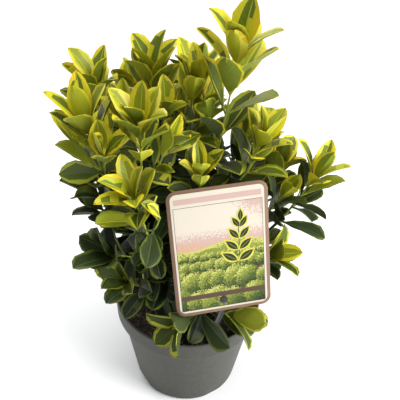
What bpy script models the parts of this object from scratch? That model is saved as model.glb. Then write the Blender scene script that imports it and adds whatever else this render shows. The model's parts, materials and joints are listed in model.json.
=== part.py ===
"""A potted golden-edged Japanese spindle, Euonymus japonicus, as sold in a 17 cm nursery pot.

Metres, +Z up. The origin is the centre of the pot's underside, and the plant's front faces -Y.
Every limb is one curve from its parent to its tip: the bough is its lower part, and its last stretch
is the leader of a mass of leaves. Leaves stand in crossed pairs, and one that would touch a limb, the
label or a leaf of another mass is turned, shortened or left out.
"""

import math
import random
from collections import namedtuple

import bmesh
import bpy
from mathutils import Matrix, Vector
from mathutils.bvhtree import BVHTree

# The plain colours of the solids, as linear red, green and blue
POT_COLOUR = (0.13, 0.14, 0.13)
SOIL_COLOUR = (0.04, 0.03, 0.02)
CARD_COLOUR = (0.75, 0.72, 0.62)
STAKE_COLOUR = (0.16, 0.20, 0.20)
BARK_COLOUR = (0.20, 0.19, 0.08)
LEAF_COLOUR = (0.42, 0.50, 0.10)

# The pot
POT_HEIGHT = 0.131
LIP_RADIUS = 0.085
FOOT_RADIUS = 0.062
WALL = 0.0018
COLLAR_HEIGHT = 0.023
COLLAR_STEP = 0.0026
COLLAR_TAPER = 0.0006
BASE_THICKNESS = 0.0030
FOOT_ROUND = 0.0014
TURN_STEPS = 32
FOOT_FLATS = 4
FOOT_FLAT_BEARING = 213
FOOT_FLAT_DEPTH = 0.0022
FOOT_FLAT_LEAN = 14
FOOT_FLAT_BOX = (0.04, 0.06, 0.06)
DRAIN_HOLES = 6
DRAIN_RADIUS = 0.0045
DRAIN_CIRCLE = 0.042
HOLE_SIDES = 12

# The soil, and the clearance between pieces that touch in the real thing
SOIL_TOP = 0.117
SOIL_MOUND = 0.004
TOUCH = 0.0003

# The label card and its stake
CARD_WIDTH = 0.100
CARD_HEIGHT = 0.142
CARD_THICKNESS = 0.0008
CARD_CORNER = 0.010
CARD_CORNER_STEPS = 5
CARD_CENTRE = Vector((0.031, -0.059, 0.250))
CARD_TILTS = (-14.5, -3.4, 11.5)
PEG_ABOVE_EDGE = 0.014
PEG_RADIUS = 0.0022
PEG_HEAD_RADIUS = 0.0042
PEG_HEAD_THICKNESS = 0.0012
STAKE_WIDTH = 0.0060
STAKE_THICKNESS = 0.0022
STAKE_ABOVE_PEG = 0.008
STAKE_FOOT = Vector((0.025, -0.0665, 0.119))
STAKE_END = Vector((0.022, -0.052, 0.074))
STAKE_END_SHARE = 0.4
STAKE_UPRIGHT = 0.032
STAKE_LEAN = 0.030
STAKE_STEPS = 10
VIEW_WAY = Vector((0.0, -0.73, 0.68)).normalized()
CARD_MARGIN = 0.003

# The short stem that every bough grows from
STEM_FOOT = Vector((0.000, 0.008))
STEM_RISE = Vector((0.003, -0.002, 0.048))
STEM_FLARE_RADIUS = 0.0085
STEM_RADIUS = 0.0052
STEM_TOP_RADIUS = 0.0042
FLARE_POWER = 5

# Limbs and twigs
BOUGH_RADIUS = 0.0026
SIDE_BOUGH_RADIUS = 0.00234
BOUGH_TIP_RADIUS = 0.0016
TWIG_RADIUS = 0.0013
TWIG_TIP_RADIUS = 0.0008
SPRIG_RADIUS = 0.0010
LIMB_POINTS = 6
LEADER_POINTS = 4
SEED = 171

# A limb's curve: how steeply it leaves the stem, how far it follows the limb that it leaves, and its
# two handles as shares of the straight way to its tip
LEAVING_RISE = 0.55
LEAVING_ONWARD = 0.45
LEAVING_PULL = 0.38
TIP_PULL = 0.36
PATH_STEPS = 24

# Side twigs: their leaves, the first one's node and the step to the next as shares of the leader, how
# far they go onward and outward, their lengths as shares of the leader, how far they bend onward and
# up, and how far they may turn from their place in degrees
SPRIG_PAIRS = 3
SPRIG_LEAF_SHARE = 0.82
SPRIG_FIRST_PAIR = 0.42
SPRIG_NODES = (0.22, 0.20)
SPRIG_OUT = (0.75, 0.66)
SPRIG_LENGTHS = (0.45, 0.60)
SPRIG_BEND = (0.6, 0.5)
SPRIG_TURN = 40

# The leaves' shape, as shares of their length
LEAF_BREADTH = 0.45
OLD_BREADTH = 0.56
LEAF_BASE_POWER = 0.95
LEAF_TIP_POWER = 0.78
PETIOLE_SHARE = 0.10
LEAF_THICKNESS_SHARE = 0.013
LEAF_RIM_SHARES = (0.42, 0.76)
LEAF_RIM_WIDTH = 1.06
LEAF_MIDDLE_SHARE = 0.52
BLADE_START = 0.34

# Where a twig bears its leaves, how far they spread at its foot and at its tip in degrees, and how
# their age, from 0 for new to 1 for full grown, falls with height
FIRST_PAIR = 0.06
LAST_PAIR = 0.985
SPREADS = (60, 14)
SPREAD_POWER = 0.75
TIP_SIZE = 0.90
OLD_BELOW = 0.25
YOUNG_ABOVE = 0.35
OLD_AGE = 1.15
YOUNG_AGE = 0.6

# How a leaf varies by chance, and how much further where it has to find room
LEAF_TURN = 12
LEAF_TILT = 6
WANDER_TURN = 80
WANDER_TILT = 30
WANDER_SHRINK = 0.35
LEAF_SIZES = (0.90, 1.08)
LEAF_WIDTHS = (0.9, 1.1)
LEAF_CURLS = (6, 38)
HOLLOW_SHARE = 0.2
HOLLOW_CURL = -0.6
LEAF_FOLDS = (12, 34)
TRIES = 24
LOWEST_LEAF = 0.122
CLEARANCE = 0.0004

# How deep a leaf's foot stands in its twig, and the small changes that let a mass join soundly
LEAF_ROOT_DEPTH = 0.0006
JOIN_TRIES = 24
JOIN_SWELL = 0.008
JOIN_SHRINK = 0.003
HAIR = 0.00000015

# One row a limb: the limb or stem that it leaves and how far along, then its tip as a bearing from +X
# in degrees, a distance from the pot's axis and a height in metres, the rise of the tip and its swing
# off the bearing in degrees, the length of its leader, its leaf pairs, side sprigs and leaf length, and the
# age of its newest leaves, from 0, narrow and golden, to 1, broad and dark.
Limb = namedtuple("Limb", "name parent leaves_at bearing reach height rise swing leader pairs sprigs leaf age")
LIMBS = [
    Limb("top_right", "stem", 1.00, 358, 0.037, 0.432, 84, 0, 0.125, 8, 1, 0.062, 0.00),
    Limb("top_left", "stem", 0.84, 139, 0.054, 0.386, 80, 0, 0.110, 8, 2, 0.058, 0.00),
    Limb("left_front", "stem", 0.76, 198, 0.102, 0.372, 78, 0, 0.105, 8, 2, 0.058, 0.00),
    Limb("front_left", "stem", 0.64, 240, 0.100, 0.334, 70, 0, 0.090, 7, 2, 0.050, 0.05),
    Limb("far_right", "stem", 0.56, 2, 0.124, 0.296, 70, 0, 0.070, 6, 1, 0.054, 0.00),
    Limb("back", "stem", 0.70, 92, 0.088, 0.350, 74, 0, 0.110, 8, 1, 0.062, 0.10),
    Limb("low_front_left", "stem", 0.38, 231, 0.096, 0.217, 50, 0, 0.045, 5, 1, 0.042, 0.50),
    Limb("back_low_right", "stem", 0.46, 48, 0.102, 0.250, 50, 0, 0.080, 6, 0, 0.066, 0.70),
    Limb("back_low_left", "stem", 0.50, 146, 0.104, 0.252, 50, 0, 0.080, 6, 0, 0.066, 0.70),
    Limb("back_low", "stem", 0.30, 88, 0.108, 0.252, 44, 0, 0.080, 6, 0, 0.066, 0.70),
    Limb("front_low", "stem", 0.34, 272, 0.068, 0.160, 8, -66, 0.040, 4, 0, 0.058, 0.75),
    Limb("front_low_right", "stem", 0.14, 307, 0.074, 0.157, 8, 45, 0.040, 4, 0, 0.056, 0.60),
    Limb("top_back", "top_right", 0.60, 84, 0.040, 0.380, 84, 0, 0.080, 6, 1, 0.056, 0.00),
    Limb("top_middle", "top_left", 0.72, 100, 0.016, 0.376, 86, 0, 0.075, 6, 1, 0.058, 0.00),
    Limb("left_high", "top_left", 0.42, 162, 0.102, 0.376, 84, 0, 0.085, 7, 1, 0.054, 0.05),
    Limb("middle_left", "left_front", 0.50, 225, 0.068, 0.380, 84, 0, 0.085, 7, 1, 0.058, 0.00),
    Limb("right", "top_right", 0.40, 350, 0.064, 0.344, 80, 0, 0.085, 7, 1, 0.052, 0.10),
    Limb("low_left", "left_front", 0.22, 186, 0.096, 0.274, 36, 0, 0.080, 6, 1, 0.054, 0.75),
    Limb("low_left_front", "front_left", 0.40, 226, 0.100, 0.252, 36, 0, 0.075, 6, 1, 0.056, 0.80),
    Limb("centre", "top_right", 0.24, 282, 0.036, 0.322, 84, 0, 0.090, 6, 0, 0.046, 0.15),
    Limb("right_middle", "far_right", 0.50, 18, 0.090, 0.284, 62, 0, 0.075, 6, 1, 0.056, 0.45),
    Limb("right_low", "far_right", 0.34, 346, 0.084, 0.208, 40, 0, 0.052, 6, 1, 0.050, 0.50),
    Limb("back_right", "back", 0.55, 45, 0.078, 0.312, 72, 0, 0.085, 7, 1, 0.050, 0.15),
    Limb("back_left", "back", 0.42, 128, 0.102, 0.328, 70, 0, 0.085, 7, 1, 0.062, 0.15),
]


# Plain geometry


def mixed(a, b, share):
    return a + (b - a) * share


def bearing_way(degrees):
    """The level direction at a bearing from +X."""
    return Vector((math.cos(math.radians(degrees)), math.sin(math.radians(degrees)), 0.0))


def bezier(points, share):
    """The point at a share of the way along a cubic Bezier curve."""
    a, b, c, d = points
    rest = 1 - share
    return a * rest**3 + b * (3 * rest**2 * share) + c * (3 * rest * share**2) + d * share**3


def along_path(path, distance):
    """The point and the direction at a distance along a list of points."""
    for start, end in zip(path, path[1:]):
        step = (end - start).length
        if distance <= step or end is path[-1]:
            way = (end - start).normalized()
            return start + way * min(distance, step), way
        distance -= step


def path_length(path):
    return sum((b - a).length for a, b in zip(path, path[1:]))


def cut_path(path, start, end, count):
    """Evenly spaced points of a path between two distances."""
    return [along_path(path, mixed(start, end, i / (count - 1)))[0] for i in range(count)]


def crossways(way, degrees):
    """A direction square to way, turned about it from the level one by an angle."""
    level = way.cross(Vector((0, 0, 1)))
    level = level.normalized() if level.length > 1e-4 else Vector((1, 0, 0))
    return Matrix.Rotation(math.radians(degrees), 3, way) @ level


# The sections and outlines of the made pieces


def card_matrix():
    """Where the card stands: its own +X runs along it, +Y goes to its back and +Z up it."""
    tilts = [math.radians(angle) for angle in CARD_TILTS]
    about_x, about_y, about_z = (Matrix.Rotation(tilt, 4, axis) for tilt, axis in zip(tilts, "XYZ"))
    return Matrix.Translation(CARD_CENTRE) @ about_z @ about_y @ about_x


def pot_profile():
    """The pot's section as (radius, height) points, from the middle of its floor inside to that below."""
    collar_foot = POT_HEIGHT - COLLAR_HEIGHT
    at_collar = mixed(FOOT_RADIUS, LIP_RADIUS - COLLAR_STEP, collar_foot / POT_HEIGHT)
    return [
        (0, BASE_THICKNESS),
        (FOOT_RADIUS - WALL - FOOT_ROUND, BASE_THICKNESS),
        (at_collar - WALL, collar_foot),
        (LIP_RADIUS - 4 * COLLAR_TAPER, POT_HEIGHT - COLLAR_TAPER),
        (LIP_RADIUS - 3 * COLLAR_TAPER, POT_HEIGHT),
        (LIP_RADIUS - COLLAR_TAPER, POT_HEIGHT),
        (LIP_RADIUS, POT_HEIGHT - COLLAR_TAPER),
        (LIP_RADIUS - COLLAR_TAPER, collar_foot + 2 * COLLAR_TAPER),
        (at_collar, collar_foot),
        (FOOT_RADIUS, FOOT_ROUND),
        (FOOT_RADIUS - FOOT_ROUND, 0),
        (0, 0),
    ]


def soil_profile():
    """The root ball's section, from the top of its mound to the middle of its underside."""
    inner_foot = FOOT_RADIUS - WALL - FOOT_ROUND
    filled = (SOIL_TOP - BASE_THICKNESS) / (POT_HEIGHT - BASE_THICKNESS)
    at_top = mixed(inner_foot, LIP_RADIUS - COLLAR_STEP - WALL, filled)
    gap = 2 * TOUCH
    top = [(at_top * share, SOIL_TOP + SOIL_MOUND * (1 - share * share)) for share in (0, 0.35, 0.7)]
    foot = BASE_THICKNESS + TOUCH
    return [*top, (at_top - gap, SOIL_TOP), (inner_foot - gap, foot), (0, foot)]


def turned_corners(profile):
    """The corners and faces of a turned shape, for the clearance tests alone."""
    points, faces = [], []
    for step in range(TURN_STEPS):
        way = bearing_way(360 * step / TURN_STEPS)
        points += [way * radius + Vector((0, 0, height)) for radius, height in profile]
    rings = len(profile)
    for step in range(TURN_STEPS):
        a, b = step * rings, (step + 1) % TURN_STEPS * rings
        faces += [(a + k, b + k, b + k + 1, a + k + 1) for k in range(rings - 1)]
    return points, faces


def stake_path():
    """The stake's centre line: straight down in the soil, and curving up to lie behind the card."""
    card = card_matrix()
    peg = card @ Vector((0, CARD_THICKNESS / 2 + TOUCH + STAKE_THICKNESS / 2, PEG_ABOVE_EDGE - CARD_HEIGHT / 2))
    up = card.col[2].to_3d()
    upright = STAKE_FOOT + Vector((0, 0, STAKE_UPRIGHT))
    controls = (STAKE_FOOT, upright, peg - up * STAKE_LEAN, peg + up * STAKE_ABOVE_PEG)
    above = [bezier(controls, i / STAKE_STEPS) for i in range(STAKE_STEPS + 1)]
    return [STAKE_END, *above], peg


def bar_corners(path, right, width, thickness, foot_share=1.0):
    """The corners and faces of a flat bar along a path, with its foot narrowed by a share."""
    points, faces = [], [(3, 2, 1, 0)]
    for i, centre in enumerate(path):
        way = (path[min(i + 1, len(path) - 1)] - path[max(i - 1, 0)]).normalized()
        back = way.cross(right).normalized() * thickness / 2
        side = back.cross(way).normalized() * width / 2 * (foot_share if i == 0 else 1)
        points += [centre - side - back, centre + side - back, centre + side + back, centre - side + back]
    for i in range(len(path) - 1):
        for k in range(4):
            a, b = 4 * i + k, 4 * i + (k + 1) % 4
            faces.append((a, b, b + 4, a + 4))
    last = 4 * len(path) - 4
    return points, faces + [(last, last + 1, last + 2, last + 3)]


def stake_corners(grow=0.0):
    """The stake's bar, or the space that it takes when grown on all sides."""
    path, _ = stake_path()
    right = card_matrix().col[0].to_3d()
    path[0] = path[0] - (path[1] - path[0]).normalized() * grow
    return bar_corners(path, right, STAKE_WIDTH + 2 * grow, STAKE_THICKNESS + 2 * grow, STAKE_END_SHARE)


def card_corners():
    """The card as a plain slab from its bottom edge to its top edge, for the clearance tests alone."""
    card = card_matrix()
    up = card.col[2].to_3d() * CARD_HEIGHT / 2
    return bar_corners([CARD_CENTRE - up, CARD_CENTRE + up], card.col[0].to_3d(), CARD_WIDTH, CARD_THICKNESS)


def tube_corners(path, radius, tip_radius, sides=4):
    """The corners and faces of a tapering tube without caps, for the clearance tests alone."""
    points, faces = [], []
    for i, centre in enumerate(path):
        way = (path[min(i + 1, len(path) - 1)] - path[max(i - 1, 0)]).normalized()
        size = mixed(radius, tip_radius, i / (len(path) - 1))
        points += [centre + crossways(way, 360 * k / sides) * size for k in range(sides)]
    for i in range(len(path) - 1):
        for k in range(sides):
            a, b = i * sides + k, i * sides + (k + 1) % sides
            faces.append((a, b, b + sides, a + sides))
    return points, faces


# The plant's rule

Twig = namedtuple("Twig", "mass path radius tip_radius")
Site = namedtuple("Site", "share mass node way across spread length age")
Leaf = namedtuple("Leaf", "mass root along face length width curl fold age")


def limb_paths():
    """The centre line of each limb, from its parent to its tip, and of the short stem."""
    foot = Vector((STEM_FOOT.x, STEM_FOOT.y, SOIL_TOP + SOIL_MOUND + TOUCH))
    above = foot + Vector((0, 0, STEM_FLARE_RADIUS / 2))
    top = foot + STEM_RISE
    paths = {"stem": [foot] + [mixed(above, top, i / 4) for i in range(5)]}
    for limb in LIMBS:
        parent = paths[limb.parent]
        bough_part = path_length(parent) - (0 if limb.parent == "stem" else leader_of(limb.parent))
        start, onward = along_path(parent, limb.leaves_at * bough_part)
        out = bearing_way(limb.bearing)
        tip = out * limb.reach + Vector((0, 0, limb.height))
        reach = (tip - start).length
        outward = (tip - start).normalized()
        if limb.parent == "stem" and limb.leaves_at < 1:
            first = (out + Vector((0, 0, LEAVING_RISE))).normalized()
        else:
            first = (onward * LEAVING_ONWARD + outward).normalized()
        rise = math.radians(limb.rise)
        last = bearing_way(limb.bearing + limb.swing) * math.cos(rise) + Vector((0, 0, math.sin(rise)))
        controls = (start, start + first * reach * LEAVING_PULL, tip - last * reach * TIP_PULL, tip)
        paths[limb.name] = [bezier(controls, i / PATH_STEPS) for i in range(PATH_STEPS + 1)]
    return paths


def leader_of(name):
    """How long the leader of a limb's mass is."""
    return next(limb.leader for limb in LIMBS if limb.name == name)


def leaf_outline(share):
    """Half the breadth of a leaf at a share of its length, as a share of its greatest half breadth."""
    blade = max(0.0, (share - PETIOLE_SHARE) / (1 - PETIOLE_SHARE))
    widest = LEAF_BASE_POWER / (LEAF_BASE_POWER + LEAF_TIP_POWER)
    peak = widest**LEAF_BASE_POWER * (1 - widest) ** LEAF_TIP_POWER
    return blade**LEAF_BASE_POWER * (1 - blade) ** LEAF_TIP_POWER / peak


def leaf_point(leaf, share, side, lift=0.0, wide=1.0):
    """A point of a leaf: side runs from -1 at its left edge over the midrib to 1, lift is square to it."""
    turn = leaf.curl * share
    arc = leaf.length / leaf.curl
    across = leaf.along.cross(leaf.face)
    middle = leaf.root + leaf.along * (arc * math.sin(turn)) - leaf.face * (arc * (1 - math.cos(turn)))
    up = leaf.face * math.cos(turn) + leaf.along * math.sin(turn)
    half = leaf.width / 2 * leaf_outline(share) * abs(side) * wide
    sideways = across * math.copysign(math.cos(leaf.fold), side) + up * math.sin(leaf.fold)
    return middle + sideways * half + up * lift


def leaf_corners(leaf, start=0.0, swell=0.0):
    """The corners and faces of a leaf's solid: a six-cornered rim folded over a raised middle."""
    thick = leaf.length * LEAF_THICKNESS_SHARE / 2 + swell
    wide = LEAF_RIM_WIDTH + 2 * swell / leaf.width
    near, far = LEAF_RIM_SHARES
    rim = [
        leaf_point(leaf, start, 0) - leaf.along * LEAF_ROOT_DEPTH,
        leaf_point(leaf, near, 1, wide=wide),
        leaf_point(leaf, far, 1, wide=wide),
        leaf_point(leaf, 1, 0) + leaf.along * swell,
        leaf_point(leaf, far, -1, wide=wide),
        leaf_point(leaf, near, -1, wide=wide),
    ]
    middles = [leaf_point(leaf, LEAF_MIDDLE_SHARE, 0, lift) for lift in (thick, -thick)]
    faces = [(i, (i + 1) % 6, 6) for i in range(6)] + [((i + 1) % 6, i, 7) for i in range(6)]
    return rim + middles, faces


class Space:
    """What has been placed so far, so that a new leaf or twig can be kept clear of it."""

    def __init__(self):
        self.taken = []

    def add(self, owner, points, faces):
        centre = sum(points, Vector()) / len(points)
        reach = max((p - centre).length for p in points)
        tree = BVHTree.FromPolygons([tuple(p) for p in points], faces)
        self.taken.append((owner, centre, reach, tree))

    def meets(self, owner, points, faces, blade=None):
        """Whether a shape crosses anything of another owner, or its blade crosses a leaf of its own."""
        centre = sum(points, Vector()) / len(points)
        reach = max((p - centre).length for p in points)
        tree = BVHTree.FromPolygons([tuple(p) for p in points], faces)
        own_tree = BVHTree.FromPolygons([tuple(p) for p in blade[0]], blade[1]) if blade else None
        for other, other_centre, other_reach, other_tree in self.taken:
            if (centre - other_centre).length > reach + other_reach:
                continue
            if other != owner:
                if tree.overlap(other_tree):
                    return True
            elif own_tree and own_tree.overlap(other_tree):
                return True
        return False


def before_card(point):
    """Whether a point would stand in front of the label card, where nothing hides it."""
    card = card_matrix()
    right, back, up = (card.col[i].to_3d() for i in range(3))
    gap = (point - CARD_CENTRE).dot(-back)
    ahead = gap / VIEW_WAY.dot(-back)
    if ahead < -CARD_MARGIN:
        return False
    flat = point - CARD_CENTRE - VIEW_WAY * ahead
    wide, tall = CARD_WIDTH / 2 + CARD_MARGIN, CARD_HEIGHT / 2 + CARD_MARGIN
    return abs(flat.dot(right)) < wide and abs(flat.dot(up)) < tall


def off_limits(points):
    """Whether a leaf or twig would hang too low outside the pot, or stand before the label."""
    return any(point.z < LOWEST_LEAF or before_card(point) for point in points)


def leaf_sites(dice, twig, pairs, length, first, youngest):
    """Where a twig bears its leaves: crossed pairs that close up and stand steeper towards its tip."""
    sites = []
    whole = path_length(twig.path)
    turn = dice.uniform(0, 90)
    for pair in range(pairs):
        share = pair / (pairs - 1)
        node, way = along_path(twig.path, whole * mixed(first, LAST_PAIR, 1 - (1 - share) ** 2))
        spread = mixed(*SPREADS, share**SPREAD_POWER)
        size = length * mixed(1.0, TIP_SIZE, share)
        risen = max(0.0, min(1.0, (node.z - OLD_BELOW) / (YOUNG_ABOVE - OLD_BELOW)))
        age = mixed(mixed(OLD_AGE, YOUNG_AGE, risen), youngest, share)
        for side in (0, 180):
            across = crossways(way, turn + 90 * pair + side)
            sites.append(Site(share, twig.mass, node, way, across, spread, size, age))
    return sites


def grow_leaf(space, dice, site):
    """One leaf at its site, turned, shortened or left out until it is clear of what stands."""
    for attempt in range(TRIES):
        wander = attempt / TRIES
        turn = dice.uniform(-LEAF_TURN, LEAF_TURN) + dice.uniform(-WANDER_TURN, WANDER_TURN) * wander
        tilt = dice.uniform(-LEAF_TILT, LEAF_TILT) + dice.uniform(-WANDER_TILT, WANDER_TILT) * wander
        turn, tilt = math.radians(turn), math.radians(site.spread + tilt)
        out = Matrix.Rotation(turn, 3, site.way) @ site.across
        along = (site.way * math.cos(tilt) + out * math.sin(tilt)).normalized()
        face = (site.way * math.sin(tilt) - out * math.cos(tilt)).normalized()
        size = site.length * dice.uniform(*LEAF_SIZES) * (1 - WANDER_SHRINK * wander)
        width = size * mixed(LEAF_BREADTH, OLD_BREADTH, min(1.0, site.age)) * dice.uniform(*LEAF_WIDTHS)
        curl = math.radians(dice.uniform(*LEAF_CURLS) * (HOLLOW_CURL if dice.random() < HOLLOW_SHARE else 1))
        fold = math.radians(dice.uniform(*LEAF_FOLDS))
        leaf = Leaf(site.mass, site.node, along, face, size, width, curl, fold, site.age)
        points, faces = leaf_corners(leaf, 0.0, CLEARANCE)
        if off_limits(points[1:]):
            continue
        if space.meets(site.mass, points, faces, leaf_corners(leaf, BLADE_START, CLEARANCE)):
            continue
        space.add(site.mass, *leaf_corners(leaf))
        return leaf
    return None


def grow_plant(space, dice):
    """Every limb's bough and the twigs and leaves of its mass: (paths, boughs, twigs, leaves)."""
    paths = limb_paths()
    space.add("pot", *turned_corners(pot_profile()))
    space.add("pot", *turned_corners(soil_profile()))
    space.add("label", *stake_corners(2 * CLEARANCE))
    space.add("label", *card_corners())
    space.add("stem", *tube_corners(paths["stem"], STEM_FLARE_RADIUS, STEM_TOP_RADIUS))
    boughs, twigs, sites = {}, [], []
    for limb in LIMBS:
        path = paths[limb.name]
        split = path_length(path) - limb.leader
        boughs[limb.name] = cut_path(path, 0, split, LIMB_POINTS)
        leader = cut_path(path, split + TOUCH, path_length(path), LEADER_POINTS)
        twigs.append(Twig(limb.name, leader, TWIG_RADIUS, TWIG_TIP_RADIUS))
        radii = (BOUGH_RADIUS + CLEARANCE, BOUGH_TIP_RADIUS + CLEARANCE)
        space.add("bough", *tube_corners(boughs[limb.name], *radii))
        space.add(limb.name, *tube_corners(leader, TWIG_RADIUS, TWIG_TIP_RADIUS))
    for limb, leader in zip(LIMBS, list(twigs)):
        sites += leaf_sites(dice, leader, limb.pairs, limb.leaf, FIRST_PAIR, limb.age)
        for sprig in grow_sprigs(space, dice, limb, leader):
            length = limb.leaf * SPRIG_LEAF_SHARE
            sites += leaf_sites(dice, sprig, SPRIG_PAIRS, length, SPRIG_FIRST_PAIR, limb.age)
            twigs.append(sprig)
    sites.sort(key=lambda site: -site.share)
    leaves = [leaf for leaf in (grow_leaf(space, dice, site) for site in sites) if leaf]
    return paths, boughs, twigs, leaves


def grow_sprigs(space, dice, limb, leader):
    """The side twigs of a leader, which leave it at its lower nodes on alternate sides."""
    sprigs = []
    side = dice.uniform(0, 360)
    whole = path_length(leader.path)
    for number in range(limb.sprigs):
        node, way = along_path(leader.path, whole * (SPRIG_NODES[0] + SPRIG_NODES[1] * number))
        for attempt in range(TRIES):
            across = crossways(way, side + 180 * number + dice.uniform(-SPRIG_TURN, SPRIG_TURN))
            way_out = (way * SPRIG_OUT[0] + across * SPRIG_OUT[1]).normalized()
            length = limb.leader * dice.uniform(*SPRIG_LENGTHS)
            bend = (way_out * SPRIG_BEND[0] + Vector((0, 0, SPRIG_BEND[1]))).normalized()
            path = [node, node + way_out * length * 0.5, node + (way_out + bend) * length * 0.5]
            points, faces = tube_corners(path[1:], SPRIG_RADIUS + CLEARANCE, SPRIG_RADIUS)
            if off_limits(path) or space.meets(limb.name, points, faces, (points, faces)):
                continue
            space.add(limb.name, *tube_corners(path, SPRIG_RADIUS, TWIG_TIP_RADIUS))
            sprigs.append(Twig(limb.name, path, SPRIG_RADIUS, TWIG_TIP_RADIUS))
            break
    return sprigs


# Blender objects


def clear_scene():
    for item in list(bpy.data.objects):
        bpy.data.objects.remove(item)


def new_collection(name):
    made = bpy.data.collections.new(name)
    bpy.context.scene.collection.children.link(made)
    return made


def material(name, colour, roughness):
    made = bpy.data.materials.new(name)
    made.use_nodes = True
    shader = made.node_tree.nodes["Principled BSDF"]
    shader.inputs["Base Color"].default_value = (*colour, 1)
    shader.inputs["Roughness"].default_value = roughness
    shader.inputs["Metallic"].default_value = 0.0
    return made


def new_object(name, data, collection, finish=None):
    made = bpy.data.objects.new(name, data)
    collection.objects.link(made)
    if finish:
        data.materials.append(finish)
    return made


def turned(name, profile, collection, finish):
    """A profile of (radius, height) points turned about the vertical axis into a closed solid."""
    mesh = bpy.data.meshes.new(name)
    mesh.from_pydata([(r, 0, z) for r, z in profile], [(i, i + 1) for i in range(len(profile) - 1)], [])
    made = new_object(name, mesh, collection, finish)
    screw = made.modifiers.new("turn", "SCREW")
    screw.steps = screw.render_steps = TURN_STEPS
    screw.use_merge_vertices = True
    screw.merge_threshold = 0.00001
    return made


def evaluated_copy(source, name, collection, finish=None, weld=True):
    """The object with its modifiers or curve turned into a plain mesh; the source is removed."""
    bpy.context.view_layer.update()
    graph = bpy.context.evaluated_depsgraph_get()
    mesh = bpy.data.meshes.new_from_object(source.evaluated_get(graph))
    mesh.transform(source.matrix_world)
    bpy.data.objects.remove(source)
    shape = bmesh.new()
    shape.from_mesh(mesh)
    if weld:
        bmesh.ops.remove_doubles(shape, verts=shape.verts, dist=1e-6)
    bmesh.ops.recalc_face_normals(shape, faces=shape.faces)
    shape.to_mesh(mesh)
    shape.free()
    mesh.materials.clear()
    return new_object(name, mesh, collection, finish)


def tube(name, path, radius, tip_radius, collection, finish=None, sides=1, flare=None):
    """A tapering round limb along a path, as a mesh. sides is the curve's bevel resolution."""
    curve = bpy.data.curves.new(name, "CURVE")
    curve.dimensions = "3D"
    curve.bevel_depth = 1.0
    curve.bevel_resolution = sides
    curve.use_fill_caps = True
    spline = curve.splines.new("POLY")
    spline.points.add(len(path) - 1)
    for i, point in enumerate(path):
        share = i / (len(path) - 1)
        size = mixed(radius, tip_radius, share)
        if flare:
            size += (flare - radius) * (1 - share) ** FLARE_POWER
        spline.points[i].co = (*point, 1)
        spline.points[i].radius = size
    return evaluated_copy(new_object(name + "_line", curve, collection), name, collection, finish)


def box(name, size, collection, matrix):
    """A box of a size, centred on a matrix's origin and turned by it."""
    shape = bmesh.new()
    bmesh.ops.create_cube(shape, size=1)
    bmesh.ops.scale(shape, vec=size, verts=shape.verts)
    mesh = bpy.data.meshes.new(name)
    shape.to_mesh(mesh)
    shape.free()
    mesh.transform(matrix)
    return new_object(name, mesh, collection)


def cylinder(name, radius, height, collection, matrix, sides):
    shape = bmesh.new()
    bmesh.ops.create_cone(
        shape, cap_ends=True, segments=sides, radius1=radius, radius2=radius, depth=height, matrix=matrix
    )
    mesh = bpy.data.meshes.new(name)
    shape.to_mesh(mesh)
    shape.free()
    return new_object(name, mesh, collection)


def helper(item):
    item.hide_render = True
    item.display_type = "WIRE"
    return item


def drop_scraps(mesh):
    """Keeps the largest closed piece of a mesh and drops loose scraps and sealed hollows."""
    shape = bmesh.new()
    shape.from_mesh(mesh)
    unseen = set(shape.verts)
    pieces = []
    while unseen:
        edge_of_piece = [unseen.pop()]
        piece = list(edge_of_piece)
        while edge_of_piece:
            corner = edge_of_piece.pop()
            for edge in corner.link_edges:
                other = edge.other_vert(corner)
                if other in unseen:
                    unseen.remove(other)
                    edge_of_piece.append(other)
                    piece.append(other)
        pieces.append(piece)
    largest = max(pieces, key=len)
    for piece in pieces:
        if piece is not largest:
            bmesh.ops.delete(shape, geom=piece, context="VERTS")
    shape.to_mesh(mesh)
    shape.free()


def apply_boolean(item, operation, cutters, solver="EXACT"):
    """Cuts or joins a collection of helper objects into an item, and removes them."""
    change = item.modifiers.new(operation.lower(), "BOOLEAN")
    change.operand_type = "COLLECTION"
    change.collection = cutters
    change.operation = operation
    change.solver = solver
    finish = item.data.materials[0] if item.data.materials else None
    name, home = item.name, item.users_collection[0]
    item.name = name + "_before"
    made = evaluated_copy(item, name, home, finish, weld=False)
    drop_scraps(made.data)
    for used in list(cutters.objects):
        bpy.data.objects.remove(used)
    bpy.data.collections.remove(cutters)
    return made


# The made pieces


def make_pot(parts, finish):
    """The pot: a tapered wall with a collar under a rounded lip, flats round its foot and drain holes."""
    pot = turned("pot", pot_profile(), parts, finish)
    cutters = new_collection("pot_cutters")
    for number in range(FOOT_FLATS):
        bearing = math.radians(FOOT_FLAT_BEARING + 360 / FOOT_FLATS * number)
        place = (
            Matrix.Rotation(bearing, 4, "Z")
            @ Matrix.Translation((FOOT_RADIUS - FOOT_FLAT_DEPTH, 0, 0))
            @ Matrix.Rotation(math.radians(FOOT_FLAT_LEAN), 4, "Y")
            @ Matrix.Translation((FOOT_FLAT_BOX[0] / 2, 0, 0))
        )
        helper(box(f"foot_flat_{number}", FOOT_FLAT_BOX, cutters, place))
    for number in range(DRAIN_HOLES):
        way = bearing_way(360 / DRAIN_HOLES * (number + 0.5)) * DRAIN_CIRCLE
        place = Matrix.Translation(way)
        helper(cylinder(f"drain_{number}", DRAIN_RADIUS, 4 * BASE_THICKNESS, cutters, place, HOLE_SIDES))
    return apply_boolean(pot, "DIFFERENCE", cutters)


def solid(name, corners, collection, finish=None):
    """An object from a list of corners and faces."""
    points, faces = corners
    mesh = bpy.data.meshes.new(name)
    mesh.from_pydata([tuple(point) for point in points], [], faces)
    return new_object(name, mesh, collection, finish)


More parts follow.
